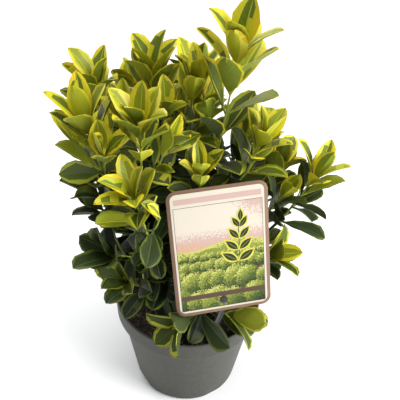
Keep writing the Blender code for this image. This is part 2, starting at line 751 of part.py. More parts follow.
def make_stake(parts, finish):
    """A flat bar bent along the stake's path, with a peg and a round head that hold the card."""
    _, peg = stake_path()
    card = card_matrix()
    bar = solid("label_stake", stake_corners(), parts, finish)
    joined = new_collection("stake_parts")
    ahead = -card.col[1].to_3d()
    turn = ahead.to_track_quat("Z", "Y").to_matrix().to_4x4()
    reach = CARD_THICKNESS + 2 * TOUCH + STAKE_THICKNESS / 2
    shaft = Matrix.Translation(peg + ahead * (reach + PEG_HEAD_THICKNESS) / 2) @ turn
    helper(cylinder("peg", PEG_RADIUS, reach + PEG_HEAD_THICKNESS, joined, shaft, HOLE_SIDES))
    head = Matrix.Translation(peg + ahead * (reach + PEG_HEAD_THICKNESS / 2)) @ turn
    helper(cylinder("peg_head", PEG_HEAD_RADIUS, PEG_HEAD_THICKNESS, joined, head, HOLE_SIDES))
    return apply_boolean(bar, "UNION", joined)


def make_card(parts, finish):
    """The label: a thin plastic card with round corners and a hole for the stake's peg."""
    curve = bpy.data.curves.new("label_card", "CURVE")
    curve.dimensions = "2D"
    curve.fill_mode = "BOTH"
    curve.extrude = CARD_THICKNESS / 2
    outline = []
    for quarter, (sx, sy) in enumerate(((1, 1), (-1, 1), (-1, -1), (1, -1))):
        corner = Vector((sx * (CARD_WIDTH / 2 - CARD_CORNER), sy * (CARD_HEIGHT / 2 - CARD_CORNER), 0))
        for step in range(CARD_CORNER_STEPS + 1):
            outline.append(corner + bearing_way(90 * (quarter + step / CARD_CORNER_STEPS)) * CARD_CORNER)
    spline = curve.splines.new("POLY")
    spline.points.add(len(outline) - 1)
    for point, place in zip(spline.points, outline):
        point.co = (*place, 1)
    spline.use_cyclic_u = True
    flat = new_object("card_outline", curve, parts)
    flat.matrix_world = card_matrix() @ Matrix.Rotation(math.radians(90), 4, "X")
    card = evaluated_copy(flat, "label_card", parts, finish)
    cutters = new_collection("card_cutters")
    _, peg = stake_path()
    ahead = -card_matrix().col[1].to_3d()
    turn = ahead.to_track_quat("Z", "Y").to_matrix().to_4x4()
    place = Matrix.Translation(peg) @ turn
    helper(cylinder("peg_hole", PEG_RADIUS + TOUCH, 2 * PEG_ABOVE_EDGE, cutters, place, HOLE_SIDES))
    return apply_boolean(card, "DIFFERENCE", cutters)


def make_soil(parts, finish):
    """The root ball: it fills the pot to a little under the lip, and is cut clear of the stake."""
    soil = turned("root_ball", soil_profile(), parts, finish)
    cutters = new_collection("soil_cutters")
    helper(solid("stake_space", stake_corners(TOUCH), cutters))
    return apply_boolean(soil, "DIFFERENCE", cutters)


def make_stem(parts, finish, paths):
    """The short stem, flared at its flat foot on the soil."""
    return tube("short_stem", paths["stem"], STEM_RADIUS, STEM_TOP_RADIUS, parts, finish, 2, STEM_FLARE_RADIUS)


def make_bough(parts, finish, paths, boughs, limb):
    """One tapering bough, its foot cut to fit the limb or stem that it leaves."""
    path = boughs[limb.name]
    if limb.parent == "stem" and limb.leaves_at == 1.0:
        path = cut_path(path, TOUCH, path_length(path), LIMB_POINTS)
        return tube(f"bough_{limb.name}", path, BOUGH_RADIUS, BOUGH_TIP_RADIUS, parts, finish)
    bough = tube(f"bough_{limb.name}", path, SIDE_BOUGH_RADIUS, BOUGH_TIP_RADIUS, parts, finish)
    cutters = new_collection(f"{limb.name}_cutters")
    if limb.parent == "stem":
        shape = (paths["stem"], STEM_RADIUS + TOUCH, STEM_TOP_RADIUS + TOUCH)
        helper(tube("cut", *shape, cutters, None, 2, STEM_FLARE_RADIUS + TOUCH))
    else:
        helper(tube("cut", boughs[limb.parent], BOUGH_RADIUS + TOUCH, BOUGH_TIP_RADIUS + TOUCH, cutters))
    return apply_boolean(bough, "DIFFERENCE", cutters)


def is_sound(mesh):
    """Whether a mesh is closed, and has no triangle so thin that its corners fall on one line."""
    shape = bmesh.new()
    shape.from_mesh(mesh)
    bmesh.ops.triangulate(shape, faces=shape.faces)
    sound = True
    for face in shape.faces:
        longest = max(edge.calc_length() for edge in face.edges)
        sound = sound and 2 * face.calc_area() > HAIR * longest
    bmesh.ops.remove_doubles(shape, verts=shape.verts, dist=HAIR)
    sound = sound and all(len(edge.link_faces) == 2 for edge in shape.edges)
    shape.free()
    return sound


def make_mass(parts, finish, name, twigs, leaves):
    """One mass: its leader with side twigs and leaves fused on, a hair changed where the join fails."""
    leader, *sprigs = [twig for twig in twigs if twig.mass == name]
    own_leaves = [leaf for leaf in leaves if leaf.mass == name]
    for attempt in range(JOIN_TRIES):
        swell = 1 + JOIN_SWELL * attempt
        joined = new_collection(f"{name}_parts")
        mass = tube(f"leaves_{name}", leader.path, leader.radius * swell, leader.tip_radius, parts, finish, 0)
        for number, sprig in enumerate(sprigs):
            helper(tube(f"twig_{number}", sprig.path, sprig.radius * swell, sprig.tip_radius, joined, None, 0))
        for number, leaf in enumerate(own_leaves):
            leaf = leaf._replace(length=leaf.length * (1 - JOIN_SHRINK * attempt))
            helper(solid(f"leaf_{number}", leaf_corners(leaf), joined))
        mass = apply_boolean(mass, "UNION", joined, ("MANIFOLD", "EXACT")[attempt % 2])
        if is_sound(mass.data) or attempt == JOIN_TRIES - 1:
            return mass
        bpy.data.objects.remove(mass)


def main():
    clear_scene()
    parts = new_collection("japanese_spindle")
    plastic = material("pot_plastic", POT_COLOUR, 0.45)
    soil = material("peat_soil", SOIL_COLOUR, 0.95)
    card = material("label_card_plastic", CARD_COLOUR, 0.35)
    stake = material("stake_plastic", STAKE_COLOUR, 0.35)
    bark = material("green_bark", BARK_COLOUR, 0.7)
    leaf = material("variegated_leaf", LEAF_COLOUR, 0.35)
    make_pot(parts, plastic)
    make_soil(parts, soil)
    make_stake(parts, stake)
    make_card(parts, card)
    paths, boughs, twigs, leaves = grow_plant(Space(), random.Random(SEED))
    make_stem(parts, bark, paths)
    for limb in LIMBS:
        make_bough(parts, bark, paths, boughs, limb)
        make_mass(parts, leaf, limb.name, twigs, leaves)


main()
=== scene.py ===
"""Looks of the potted golden-edged Japanese spindle: leaves, bark, pot, soil and label card.

The plant's rule and its sizes are those of the solids, written again here, so that every limb and
leaf grows where its solid is. Older leaves on the boughs and the new leaves at the tips come on top.
"""

import json
import math
import random
from collections import namedtuple

import bpy
import numpy as np
from mathutils import Matrix, Vector
from mathutils.bvhtree import BVHTree

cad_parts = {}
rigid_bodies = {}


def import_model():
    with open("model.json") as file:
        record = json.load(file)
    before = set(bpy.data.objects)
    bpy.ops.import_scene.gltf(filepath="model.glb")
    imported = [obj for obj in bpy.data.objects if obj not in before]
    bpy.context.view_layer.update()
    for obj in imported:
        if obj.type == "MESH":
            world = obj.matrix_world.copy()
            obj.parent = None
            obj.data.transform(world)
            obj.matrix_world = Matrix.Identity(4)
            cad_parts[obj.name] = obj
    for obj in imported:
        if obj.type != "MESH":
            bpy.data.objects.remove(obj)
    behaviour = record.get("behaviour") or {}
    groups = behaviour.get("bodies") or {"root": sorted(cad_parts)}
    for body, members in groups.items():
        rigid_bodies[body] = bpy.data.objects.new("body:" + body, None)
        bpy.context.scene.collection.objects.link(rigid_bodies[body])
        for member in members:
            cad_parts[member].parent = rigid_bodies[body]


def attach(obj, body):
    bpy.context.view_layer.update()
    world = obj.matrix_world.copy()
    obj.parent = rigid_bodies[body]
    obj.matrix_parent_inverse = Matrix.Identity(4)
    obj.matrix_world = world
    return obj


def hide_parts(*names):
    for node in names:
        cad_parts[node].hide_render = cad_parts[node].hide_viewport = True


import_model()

# The camera, the ground and the sky
CAMERA_PLACE = (0.0, -0.5302, 0.6898)
CAMERA_YAW = 0.98
CAMERA_PITCH = 38.58
CAMERA_ROLL = -2.53
CAMERA_LENS = 58.0
CAMERA_CLIP = 0.01
FLOOR_SIZE = 12.0
SKY_COLOUR = (0.95, 0.97, 1.0)
SKY_STRENGTH = 0.50

# The lamps: where each stands, what it is aimed at, its size and its power
LAMPS = {
    "key": ((1.3, -0.7, 1.4), (0, 0, 0.25), 1.1, 38),
    "side": ((1.6, -0.5, 0.30), (0, 0, 0.1), 0.6, 22),
    "fill": ((-1.4, -0.8, 1.6), (0, 0, 0.25), 1.2, 3),
    "top": ((-0.2, 0.3, 2.0), (0, 0, 0.25), 1.1, 25),
    "back": ((-1.0, 1.5, 1.1), (0, 0, 0.25), 1.0, 14),
}

# The meshes: the angle from which an edge is sharp, the smallest ring round a pole, and the gap that
# keeps two rings in one place apart
SHARP_ANGLE = math.radians(60)
POLE_RADIUS = 0.002
RING_GAP = 0.000001

# Noise: how many sine waves it has, how much finer and fainter they get from one to the next, the range
# of their phases, and what their sum is divided by
NOISE_WAVES = 6
NOISE_FINER = 0.6
NOISE_FAINTER = 0.5
NOISE_TURN = 6.28
NOISE_SUM = 2.2

# The seeds of what varies by chance in the looks alone
OUTER_LEAF_SEED = 31
INNER_LEAF_SEED = 32
STEM_SEED = 3
BOUGH_SEED = 10
SHOOT_SEED = 60
CRUMB_SEED = 21
PICTURE_SEED = 8

# The leaves' gloss, and their side veins: how many, how far they slant and how they stand out
LEAF_COAT = 0.05
LEAF_SPECULAR = 0.22
LEAF_VEINS = 8.0
VEIN_SLANT = 2.2
VEIN_DEPTH = 0.00012
VEIN_POWER = 3.0
VEIN_RELIEF = 8.0

# The leaves' fine shape: their rows as shares of their length, their stalk, and what is raised or lowered
# as shares of half the breadth or, for the wave along the edge, of the length
LEAF_ROWS = (0.0, 0.15, 0.30, 0.47, 0.66, 0.84, 0.95, 1.0)
LEAF_RIB = 0.05
PETIOLE_HALF_WIDTH = 0.0009
PETIOLE_TAPER = 0.7
OLD_TIP_POWER = 0.52
LEAF_MIDDLE_DEPTH = 0.0005
UNDERSIDE_DEPTHS = (0.6, 1.6, 0.6)
EDGE_RAGGED = 0.03
CROWN_HEIGHT = 0.32
VEIN_HEIGHT = 0.012
WAVE_HEIGHT = 0.018
WAVE_TURNS = 1.4
WAVE_SHIFT = 1.3
WAVE_GROWTH = 3

# Where a leaf's gold begins, as shares of half its breadth: the border's mean and spread when young and
# when old, how far it runs in and out from row to row, how broad the splashes inside it are, how often
# half a leaf is nearly all gold, and how the borders close in towards the tip
YOUNG_BORDER = (0.80, 0.08)
OLD_BORDER = (0.87, 0.04)
YOUNG_FLAMES = 0.12
OLD_FLAMES = 0.05
YOUNG_SPLASH = (0.16, 0.50)
OLD_SPLASH = (0.04, 0.22)
GOLDEN_CHANCE = 0.04
GOLDEN_BORDER = 0.35
BORDER_CLOSING = 0.5
CLOSING_FROM = 0.75
CLOSING_POWER = 1.5
BORDER_LIMITS = (LEAF_RIB + 0.10, 0.93)
MIDDLE_LIMITS = (LEAF_RIB + 0.04, 0.90)

# How often a face among the splashes is gold or green, and one of the green middle is lime
GOLD_FLECKS = 0.10
GREEN_FLECKS = 0.08
LIME_FLECKS = 0.08

# The older leaves on the boughs, and the small new ones at the tips of the twigs
INNER_START = 0.28
INNER_SPACING = 0.012
INNER_FIRST = 0.4
INNER_SPREAD = 62
INNER_AGE = 1.2
BARE_BOUGHS = ("far_right", "right_middle")
TIP_LEAF_LENGTH = 0.020
TIP_LEAF_SIZES = (0.75, 1.3)
TIP_LEAF_SPREAD = 13

# Across a leaf, the parts whose colours meet along its length: over the top from left to right,
# then back along the underside
LEAF_STRIPS = (
    "margin", "splash", "middle", "rib", "middle", "splash", "margin",
    "under_margin", "under_middle", "under_middle", "under_margin",
)

# The colours that a part of a leaf may have up to an age. Chance moves the age. Painted shade makes the
# leaves lower in the shrub take older, darker colours, and painted light gives those on the limbs that stand
# out into the sun younger, brighter ones
AGE_CHANCE = 0.16
PAINTED_SHADE_BELOW = 0.10
LIT_ABOVE = 0.36
SHADED_BELOW = 0.22
PAINTED_SUNLIT_LIMBS = ("right_middle", "right_low", "front_low", "front_low_right")
PAINTED_SUNLIGHT_YOUTH = 0.22
LEAF_AGES = {
    "margin": (
        (0.50, ("margin_gold", "margin_gold", "margin_amber", "margin_lemon")),
        (0.78, ("margin_lime",)),
        (9.0, ("margin_old",)),
    ),
    "splash": (
        (0.50, ("splash_lime", "splash_lime", "splash_leaf")),
        (0.72, ("middle_green", "splash_leaf")),
        (9.0, ("splash_old",)),
    ),
    "middle": (
        (0.35, ("middle_green", "middle_shade", "middle_shade", "middle_green")),
        (0.56, ("middle_green", "middle_shade")),
        (0.82, ("middle_leaf",)),
        (1.00, ("middle_dark",)),
        (9.0, ("middle_deep", "middle_deep", "middle_dark")),
    ),
    "rib": ((0.60, ("rib_young",)), (9.0, ("rib_old",))),
    "under_margin": ((0.70, ("under_gold", "under_gold", "under_lemon")), (9.0, ("under_rim",))),
    "under_middle": (
        (0.40, ("under_lime", "under_green", "under_lime", "under_leaf")),
        (0.66, ("under_green", "under_leaf")),
        (9.0, ("under_sage",)),
    ),
}

# Each colour of a leaf, as linear red, green and blue, and its roughness
LEAF_COLOURS = {
    "margin_gold": ((0.56, 0.46, 0.020), 0.42),
    "margin_amber": ((0.56, 0.42, 0.012), 0.42),
    "margin_lemon": ((0.54, 0.47, 0.060), 0.42),
    "margin_lime": ((0.185, 0.200, 0.014), 0.52),
    "margin_old": ((0.078, 0.100, 0.011), 0.52),
    "splash_lime": ((0.46, 0.435, 0.018), 0.42),
    "splash_leaf": ((0.36, 0.365, 0.018), 0.42),
    "splash_old": ((0.026, 0.042, 0.008), 0.52),
    "middle_green": ((0.205, 0.234, 0.012), 0.40),
    "middle_shade": ((0.105, 0.142, 0.010), 0.40),
    "middle_leaf": ((0.046, 0.066, 0.007), 0.52),
    "middle_dark": ((0.019, 0.032, 0.005), 0.52),
    "middle_deep": ((0.008, 0.014, 0.004), 0.52),
    "rib_young": ((0.38, 0.40, 0.025), 0.45),
    "rib_old": ((0.055, 0.080, 0.018), 0.46),
    # The undersides' gold, lemon, lime, leaf and green colours are partly their own paler tone and partly
    # painted light, brightened for the light that shines through the leaf
    "under_gold": ((0.53, 0.47, 0.018), 0.58),
    "under_lemon": ((0.55, 0.50, 0.050), 0.58),
    "under_lime": ((0.335, 0.350, 0.018), 0.60),
    "under_leaf": ((0.245, 0.270, 0.016), 0.60),
    "under_green": ((0.150, 0.190, 0.014), 0.60),
    "under_rim": ((0.110, 0.135, 0.020), 0.62),
    "under_sage": ((0.038, 0.054, 0.014), 0.64),
}

# The other pieces' colours, likewise, and the darker and lighter tones of those that are mottled
POT_COLOUR = (0.050, 0.052, 0.045)
POT_TONES = ((0.048, 0.049, 0.040), (0.059, 0.060, 0.050))
SOIL_COLOUR = (0.02, 0.015, 0.01)
SOIL_TONES = ((0.009, 0.007, 0.005), (0.044, 0.031, 0.019))
BARK_COLOUR = (0.06, 0.06, 0.03)
BARK_TONES = ((0.028, 0.024, 0.014), (0.085, 0.085, 0.035))
SHOOT_COLOUR = (0.24, 0.30, 0.04)
STAKE_COLOUR = (0.030, 0.040, 0.044)
PEG_COLOUR = (0.012, 0.015, 0.013)
FLOOR_COLOUR = (0.88, 0.88, 0.875)

# The gloss of the pot and of most finishes, the strength of every grain, and the mottling's noise, with
# where the darker tone ends in it and where the lighter one begins
POT_SPECULAR = 0.3
PLAIN_SPECULAR = 0.5
COAT_ROUGHNESS = 0.25
GRAIN_STRENGTH = 0.6
MOTTLE_DETAIL = 5.0
MOTTLE_RANGE = (0.35, 0.65)

# The stems' mesh and bark: their rings and sides, the ridges round a limb and their turns along it, the
# scales of the bark's noise, how strong ridges and noise are, and the swelling at each pair of leaves
STEM_RINGS = 40
STEM_SIDES = 28
RING_SPACING = 0.0022
BOUGH_MESH = (12, 10)
SHOOT_MESH = (8, 8)
BARK_RIDGES = 5
BARK_TWIST = 40
BARK_SCALES = (420.0, 1300.0)
STEM_RELIEF = (0.05, 0.06)
BOUGH_RELIEF = (0.03, 0.05)
SHOOT_RELIEF = (0.04, 0.02)
KNOT_SWELL = 0.13
KNOT_LENGTH = 0.10

# The pot's mesh and the roundings of its section, and which part of it the flats of the foot may cut
POT_SIDES = 144
PROFILE_STEP = 0.006
ROUNDING_STEPS = 5
FLOOR_ROUNDING = 0.003
WALL_ROUNDING = 0.001
EDGE_ROUNDING = 0.0008
FOOT_ROUNDING = 0.0018
FOOT_BEVEL = 0.0028
FOOT_INSET = 0.0016
WALL_SWELL = 0.0002
COLLAR_EDGE = 0.0008
LIP_SLOPE = 0.0004
FLATS_BELOW = 0.03
FLAT_MARGIN = 0.0008

# The soil's mesh, how far it goes into the pot's wall and sinks below its mound, the foot of its skirt,
# and its bumps, each with a height, a scale and a seed
SOIL_RINGS = 46
SOIL_SIDES = 120
SOIL_OVERLAP = 0.0007
SOIL_SINK = 0.0006
SKIRT_CLOSING = 0.02
SOIL_BUMPS = ((0.0012, 170.0, 5), (0.0007, 520.0, 6))

# The crumbs on the soil: how many of a kind, how long, and their breadth and height as shares of that.
# Then how much their sizes and corners vary, how far they tip, and where they lie
Crumb = namedtuple("Crumb", "count length breadth height colour")
CRUMBS = {
    "peat": Crumb(1100, 0.0030, 0.75, 0.60, (0.042, 0.030, 0.020)),
    "bark": Crumb(320, 0.0052, 0.50, 0.25, (0.150, 0.088, 0.045)),
    "fibre": Crumb(420, 0.0075, 0.12, 0.10, (0.260, 0.160, 0.080)),
    "moss": Crumb(90, 0.0028, 0.70, 0.40, (0.060, 0.066, 0.020)),
    "grit": Crumb(110, 0.0018, 0.80, 0.70, (0.30, 0.27, 0.21)),
}
CRUMB_FACES = (
    (0, 1, 4), (1, 2, 4), (2, 3, 4), (3, 0, 4),
    (1, 0, 5), (2, 1, 5), (3, 2, 5), (0, 3, 5),
)
CRUMB_SIZES = (0.4, 1.2)
CRUMB_DENTS = (0.7, 1.2)
CRUMB_TIP = 0.30
CRUMB_MARGIN = 0.001
CRUMB_LIFT = 0.0005

# The card's round corners and its softened edge: how far in and how deep
CORNER_STEPS = 8
CARD_EDGE_IN = 0.0003
CARD_EDGE_DEPTH = 0.0002

# The stake's mesh, the channel along both its faces, as shares of half its width at the rim and at the
# floor and of half its thickness, and the bevel of the peg's head, as shares of its thickness and radius
STAKE_RINGS = 40
STAKE_CHANNEL = (0.62, 0.5, 0.35)
PEG_SIDES = 28
PEG_BEVEL = (0.7, 0.8)

# The label's print: its panel's size, how thick each layer is, and its colours
PANEL_WIDTH = 0.0925
PANEL_HEIGHT = 0.1345
PANEL_CORNER = 0.0060
BAND_WIDTH = 0.0865
PRINT_LAYER = 0.00004
PRINT_SPECULAR = 0.2
PICTURE_WIDTH = 0.088
PICTURE_TOP = 0.0525
PICTURE_FOOT = -0.0650
PICTURE_HEIGHT = PICTURE_TOP - PICTURE_FOOT
PICTURE_MIDDLE = (PICTURE_TOP + PICTURE_FOOT) / 2
FRAME_LINE = 0.0004
PRINT_COLOURS = {
    "border": (0.180, 0.108, 0.070),
    "cream": (0.53, 0.48, 0.40),
    "blush": (0.44, 0.31, 0.27),
    "ink": (0.10, 0.08, 0.065),
    "apricot": (0.48, 0.29, 0.15),
    "gold": (0.52, 0.46, 0.07),
    "mist": (0.42, 0.43, 0.11),
    "spring": (0.175, 0.205, 0.032),
    "moss": (0.050, 0.078, 0.014),
    "pine": (0.016, 0.028, 0.009),
    "umber": (0.075, 0.045, 0.030),
}

# The print's bands and frame lines: their middle across and up, width, height, layer and colour. The
# layers below zero are on the card's back
PRINT_BARS = (
    (0, 0.0590, BAND_WIDTH, 0.0060, 2, "blush"),
    (0, -0.0500, PICTURE_WIDTH, 0.0055, 3, "umber"),
    (0, PICTURE_TOP, PICTURE_WIDTH, FRAME_LINE, 4, "ink"),
    (0, PICTURE_FOOT, PICTURE_WIDTH, FRAME_LINE, 4, "ink"),
    (-PICTURE_WIDTH / 2, PICTURE_MIDDLE, FRAME_LINE, PICTURE_HEIGHT, 4, "ink"),
    (PICTURE_WIDTH / 2, PICTURE_MIDDLE, FRAME_LINE, PICTURE_HEIGHT, 4, "ink"),
    (0.0190, 0.0050, 0.0009, 0.0500, 3, "moss"),
    (0, -0.0450, BAND_WIDTH, 0.0200, -2, "umber"),
)

# The printed sprig over the picture: the ends of its stem, its pairs of leaves, the first one's place and
# the step to the next as shares of the stem, then the leaves' spread in degrees and their length, each with
# its change from pair to pair. The leaf at the tip has a bearing, a length and a layer of its own
PRINTED_FOOT = (0.017, -0.020)
PRINTED_TIP = (0.021, 0.030)
PRINTED_PAIRS = 4
PRINTED_LAYER = 4
PRINTED_PLACES = (0.12, 0.25)
PRINTED_SPREADS = (56, -8)
PRINTED_LENGTHS = (0.0215, -0.0020)
PRINTED_TIP_LEAF = (86, 0.0150, 10)

# The layers of a printed leaf: where each begins, its length and half its breadth, as shares of the leaf's
# length, and its colour. Its outline has so many steps, and its belly lies nearer the foot by a power
PRINTED_LEAF = (
    (0.0, 1.0, 0.26, "gold"),
    (0.06, 0.84, 0.17, "pine"),
    (0.0, 0.90, 0.015, "spring"),
)
PRINTED_STEPS = 9
PRINTED_BELLY = 0.9

# The picture's cells, and how far they lean and move as shares of a cell
PICTURE_COLUMNS = 108
PICTURE_ROWS = 150
PICTURE_LEAN = 0.25
PICTURE_MOVE = 0.35

# The picture's sky: where it begins, how high its evening light reaches and how that fades, how far its
# cloud comes down from the right, and its colours
SKY_FOOT = 0.004
SKY_REACH = 0.042
SKY_FADE = 1.5
SKY_CLOUD = 0.70
SKY_RAMP = ("cream", "cream", "blush", "apricot")

# The picture's hills: crest, swell, waves across, phase and colours from the crest down. Then its rows
# of shrubs: where each row stands and how large its shrubs are
HILL_DEPTH = 0.016
PICTURE_HILLS = (
    (0.008, 0.0045, 0.9, 0.5, ("mist", "spring", "mist")),
    (0.001, 0.0035, 1.4, 2.4, ("spring", "spring", "moss")),
    (-0.010, 0.0030, 0.8, 4.0, ("spring", "moss", "umber", "umber")),
)
PICTURE_SHRUBS = ((-0.005, 0.0042), (-0.016, 0.0070), (-0.032, 0.0115), (-0.056, 0.0150))

# A shrub of the picture: the step to the next as a share of its size, how its size, place and height
# vary, and its light: at its middle, then how it changes to the right, upwards and by chance
SHRUB_STEP = 1.25
SHRUB_SIZES = (0.8, 1.25)
SHRUB_SHIFTS = (0.3, 0.2)
SHRUB_HEIGHTS = (0.9, 1.2)
SHRUB_LIGHT = (0.42, -0.36, 0.52, 0.2)
SHRUB_RAMP = ("pine", "moss", "moss", "spring", "spring", "mist")

# The pot
POT_HEIGHT = 0.131
LIP_RADIUS = 0.085
FOOT_RADIUS = 0.062
WALL = 0.0018
COLLAR_HEIGHT = 0.023
COLLAR_STEP = 0.0026
COLLAR_TAPER = 0.0006
BASE_THICKNESS = 0.0030
FOOT_ROUND = 0.0014
FOOT_FLATS = 4
FOOT_FLAT_BEARING = 213
FOOT_FLAT_DEPTH = 0.0022
FOOT_FLAT_LEAN = 14
DRAIN_HOLES = 6
DRAIN_RADIUS = 0.0045
DRAIN_CIRCLE = 0.042
HOLE_SIDES = 12

# The soil, the places on its mound where its section has points, as shares of its radius, and the
# clearance between pieces that touch in the real thing
SOIL_TOP = 0.117
SOIL_MOUND = 0.004
MOUND_SHARES = (0, 0.35, 0.7)
TOUCH = 0.0003

# The label card and its stake
CARD_WIDTH = 0.100
CARD_HEIGHT = 0.142
CARD_THICKNESS = 0.0008
CARD_CORNER = 0.010
CARD_CENTRE = Vector((0.031, -0.059, 0.250))
CARD_TILTS = (-14.5, -3.4, 11.5)
PEG_ABOVE_EDGE = 0.014
PEG_RADIUS = 0.0022
PEG_HEAD_RADIUS = 0.0042
PEG_HEAD_THICKNESS = 0.0012
STAKE_WIDTH = 0.0060
STAKE_THICKNESS = 0.0022
STAKE_ABOVE_PEG = 0.008
STAKE_FOOT = Vector((0.025, -0.0665, 0.119))
STAKE_END = Vector((0.022, -0.052, 0.074))
STAKE_END_SHARE = 0.4
STAKE_UPRIGHT = 0.032
STAKE_LEAN = 0.030
STAKE_STEPS = 10
VIEW_WAY = Vector((0.0, -0.73, 0.68)).normalized()
CARD_MARGIN = 0.003

# The short stem that every bough grows from
STEM_FOOT = Vector((0.000, 0.008))
STEM_RISE = Vector((0.003, -0.002, 0.048))
STEM_FLARE_RADIUS = 0.0085
STEM_RADIUS = 0.0052
STEM_TOP_RADIUS = 0.0042
FLARE_POWER = 5
STEM_STEPS = 4

# Limbs and twigs
BOUGH_RADIUS = 0.0026
SIDE_BOUGH_RADIUS = 0.00234
BOUGH_TIP_RADIUS = 0.0016
TWIG_RADIUS = 0.0013
TWIG_TIP_RADIUS = 0.0008
SPRIG_RADIUS = 0.0010
LIMB_POINTS = 6
LEADER_POINTS = 4
SEED = 171

# A limb's curve: how steeply it leaves the stem, how far it follows the limb that it leaves, and its
# two handles as shares of the straight way to its tip
LEAVING_RISE = 0.55
LEAVING_ONWARD = 0.45
LEAVING_PULL = 0.38
TIP_PULL = 0.36
PATH_STEPS = 24

# Side twigs: their leaves, the first one's node and the step to the next as shares of the leader, how
# far they go onward and outward, their lengths as shares of the leader, how far they bend onward and
# up, and how far they may turn from their place in degrees
SPRIG_PAIRS = 3
SPRIG_LEAF_SHARE = 0.82
SPRIG_FIRST_PAIR = 0.42
SPRIG_NODES = (0.22, 0.20)
SPRIG_OUT = (0.75, 0.66)
SPRIG_LENGTHS = (0.45, 0.60)
SPRIG_BEND = (0.6, 0.5)
SPRIG_TURN = 40

# The leaves' shape, as shares of their length
LEAF_BREADTH = 0.45
OLD_BREADTH = 0.56
LEAF_BASE_POWER = 0.95
LEAF_TIP_POWER = 0.78
PETIOLE_SHARE = 0.10
LEAF_THICKNESS_SHARE = 0.013
LEAF_RIM_SHARES = (0.42, 0.76)
LEAF_RIM_WIDTH = 1.06
LEAF_MIDDLE_SHARE = 0.52
BLADE_START = 0.34

# Where a twig bears its leaves, how far they spread at its foot and at its tip in degrees, and how
# their age, from 0 for new to 1 for full grown, falls with height
FIRST_PAIR = 0.06
LAST_PAIR = 0.985
SPREADS = (60, 14)
SPREAD_POWER = 0.75
TIP_SIZE = 0.90
OLD_BELOW = 0.25
YOUNG_ABOVE = 0.35
OLD_AGE = 1.15
YOUNG_AGE = 0.6

# How a leaf varies by chance, and how much further where it has to find room
LEAF_TURN = 12
LEAF_TILT = 6
WANDER_TURN = 80
WANDER_TILT = 30
WANDER_SHRINK = 0.35
LEAF_SIZES = (0.90, 1.08)
LEAF_WIDTHS = (0.9, 1.1)
LEAF_CURLS = (6, 38)
HOLLOW_SHARE = 0.2
HOLLOW_CURL = -0.6
LEAF_FOLDS = (12, 34)
TRIES = 24
LOWEST_LEAF = 0.122
CLEARANCE = 0.0004

# How deep a leaf's foot stands in its twig
LEAF_ROOT_DEPTH = 0.0006

# How many sides the turned shapes and the tubes have in the clearance tests
TURN_STEPS = 32
TUBE_SIDES = 4

# One row a limb: the limb or stem that it leaves and how far along, then its tip as a bearing from +X
# in degrees, a distance from the pot's axis and a height in metres, the rise of the tip and its swing
# off the bearing in degrees, the length of its leader, its leaf pairs, side sprigs and leaf length, and the
# age of its newest leaves, from 0, narrow and golden, to 1, broad and dark.
Limb = namedtuple(
    "Limb", "name parent leaves_at bearing reach height rise swing leader pairs sprigs leaf age"
)
LIMBS = [
    Limb("top_right", "stem", 1.00, 358, 0.037, 0.432, 84, 0, 0.125, 8, 1, 0.062, 0.00),
    Limb("top_left", "stem", 0.84, 139, 0.054, 0.386, 80, 0, 0.110, 8, 2, 0.058, 0.00),
    Limb("left_front", "stem", 0.76, 198, 0.102, 0.372, 78, 0, 0.105, 8, 2, 0.058, 0.00),
    Limb("front_left", "stem", 0.64, 240, 0.100, 0.334, 70, 0, 0.090, 7, 2, 0.050, 0.05),
    Limb("far_right", "stem", 0.56, 2, 0.124, 0.296, 70, 0, 0.070, 6, 1, 0.054, 0.00),
    Limb("back", "stem", 0.70, 92, 0.088, 0.350, 74, 0, 0.110, 8, 1, 0.062, 0.10),
    Limb("low_front_left", "stem", 0.38, 231, 0.096, 0.217, 50, 0, 0.045, 5, 1, 0.042, 0.50),
    Limb("back_low_right", "stem", 0.46, 48, 0.102, 0.250, 50, 0, 0.080, 6, 0, 0.066, 0.70),
    Limb("back_low_left", "stem", 0.50, 146, 0.104, 0.252, 50, 0, 0.080, 6, 0, 0.066, 0.70),
    Limb("back_low", "stem", 0.30, 88, 0.108, 0.252, 44, 0, 0.080, 6, 0, 0.066, 0.70),
    Limb("front_low", "stem", 0.34, 272, 0.068, 0.160, 8, -66, 0.040, 4, 0, 0.058, 0.75),
    Limb("front_low_right", "stem", 0.14, 307, 0.074, 0.157, 8, 45, 0.040, 4, 0, 0.056, 0.60),
    Limb("top_back", "top_right", 0.60, 84, 0.040, 0.380, 84, 0, 0.080, 6, 1, 0.056, 0.00),
    Limb("top_middle", "top_left", 0.72, 100, 0.016, 0.376, 86, 0, 0.075, 6, 1, 0.058, 0.00),
    Limb("left_high", "top_left", 0.42, 162, 0.102, 0.376, 84, 0, 0.085, 7, 1, 0.054, 0.05),
    Limb("middle_left", "left_front", 0.50, 225, 0.068, 0.380, 84, 0, 0.085, 7, 1, 0.058, 0.00),
    Limb("right", "top_right", 0.40, 350, 0.064, 0.344, 80, 0, 0.085, 7, 1, 0.052, 0.10),
    Limb("low_left", "left_front", 0.22, 186, 0.096, 0.274, 36, 0, 0.080, 6, 1, 0.054, 0.75),
    Limb("low_left_front", "front_left", 0.40, 226, 0.100, 0.252, 36, 0, 0.075, 6, 1, 0.056, 0.80),
    Limb("centre", "top_right", 0.24, 282, 0.036, 0.322, 84, 0, 0.090, 6, 0, 0.046, 0.15),
    Limb("right_middle", "far_right", 0.50, 18, 0.090, 0.284, 62, 0, 0.075, 6, 1, 0.056, 0.45),
    Limb("right_low", "far_right", 0.34, 346, 0.084, 0.208, 40, 0, 0.052, 6, 1, 0.050, 0.50),
    Limb("back_right", "back", 0.55, 45, 0.078, 0.312, 72, 0, 0.085, 7, 1, 0.050, 0.15),
    Limb("back_left", "back", 0.42, 128, 0.102, 0.328, 70, 0, 0.085, 7, 1, 0.062, 0.15),
]


# Plain geometry


def mixed(a, b, share):
    """What lies between two numbers or points at a share of the way."""
    return a + (b - a) * share


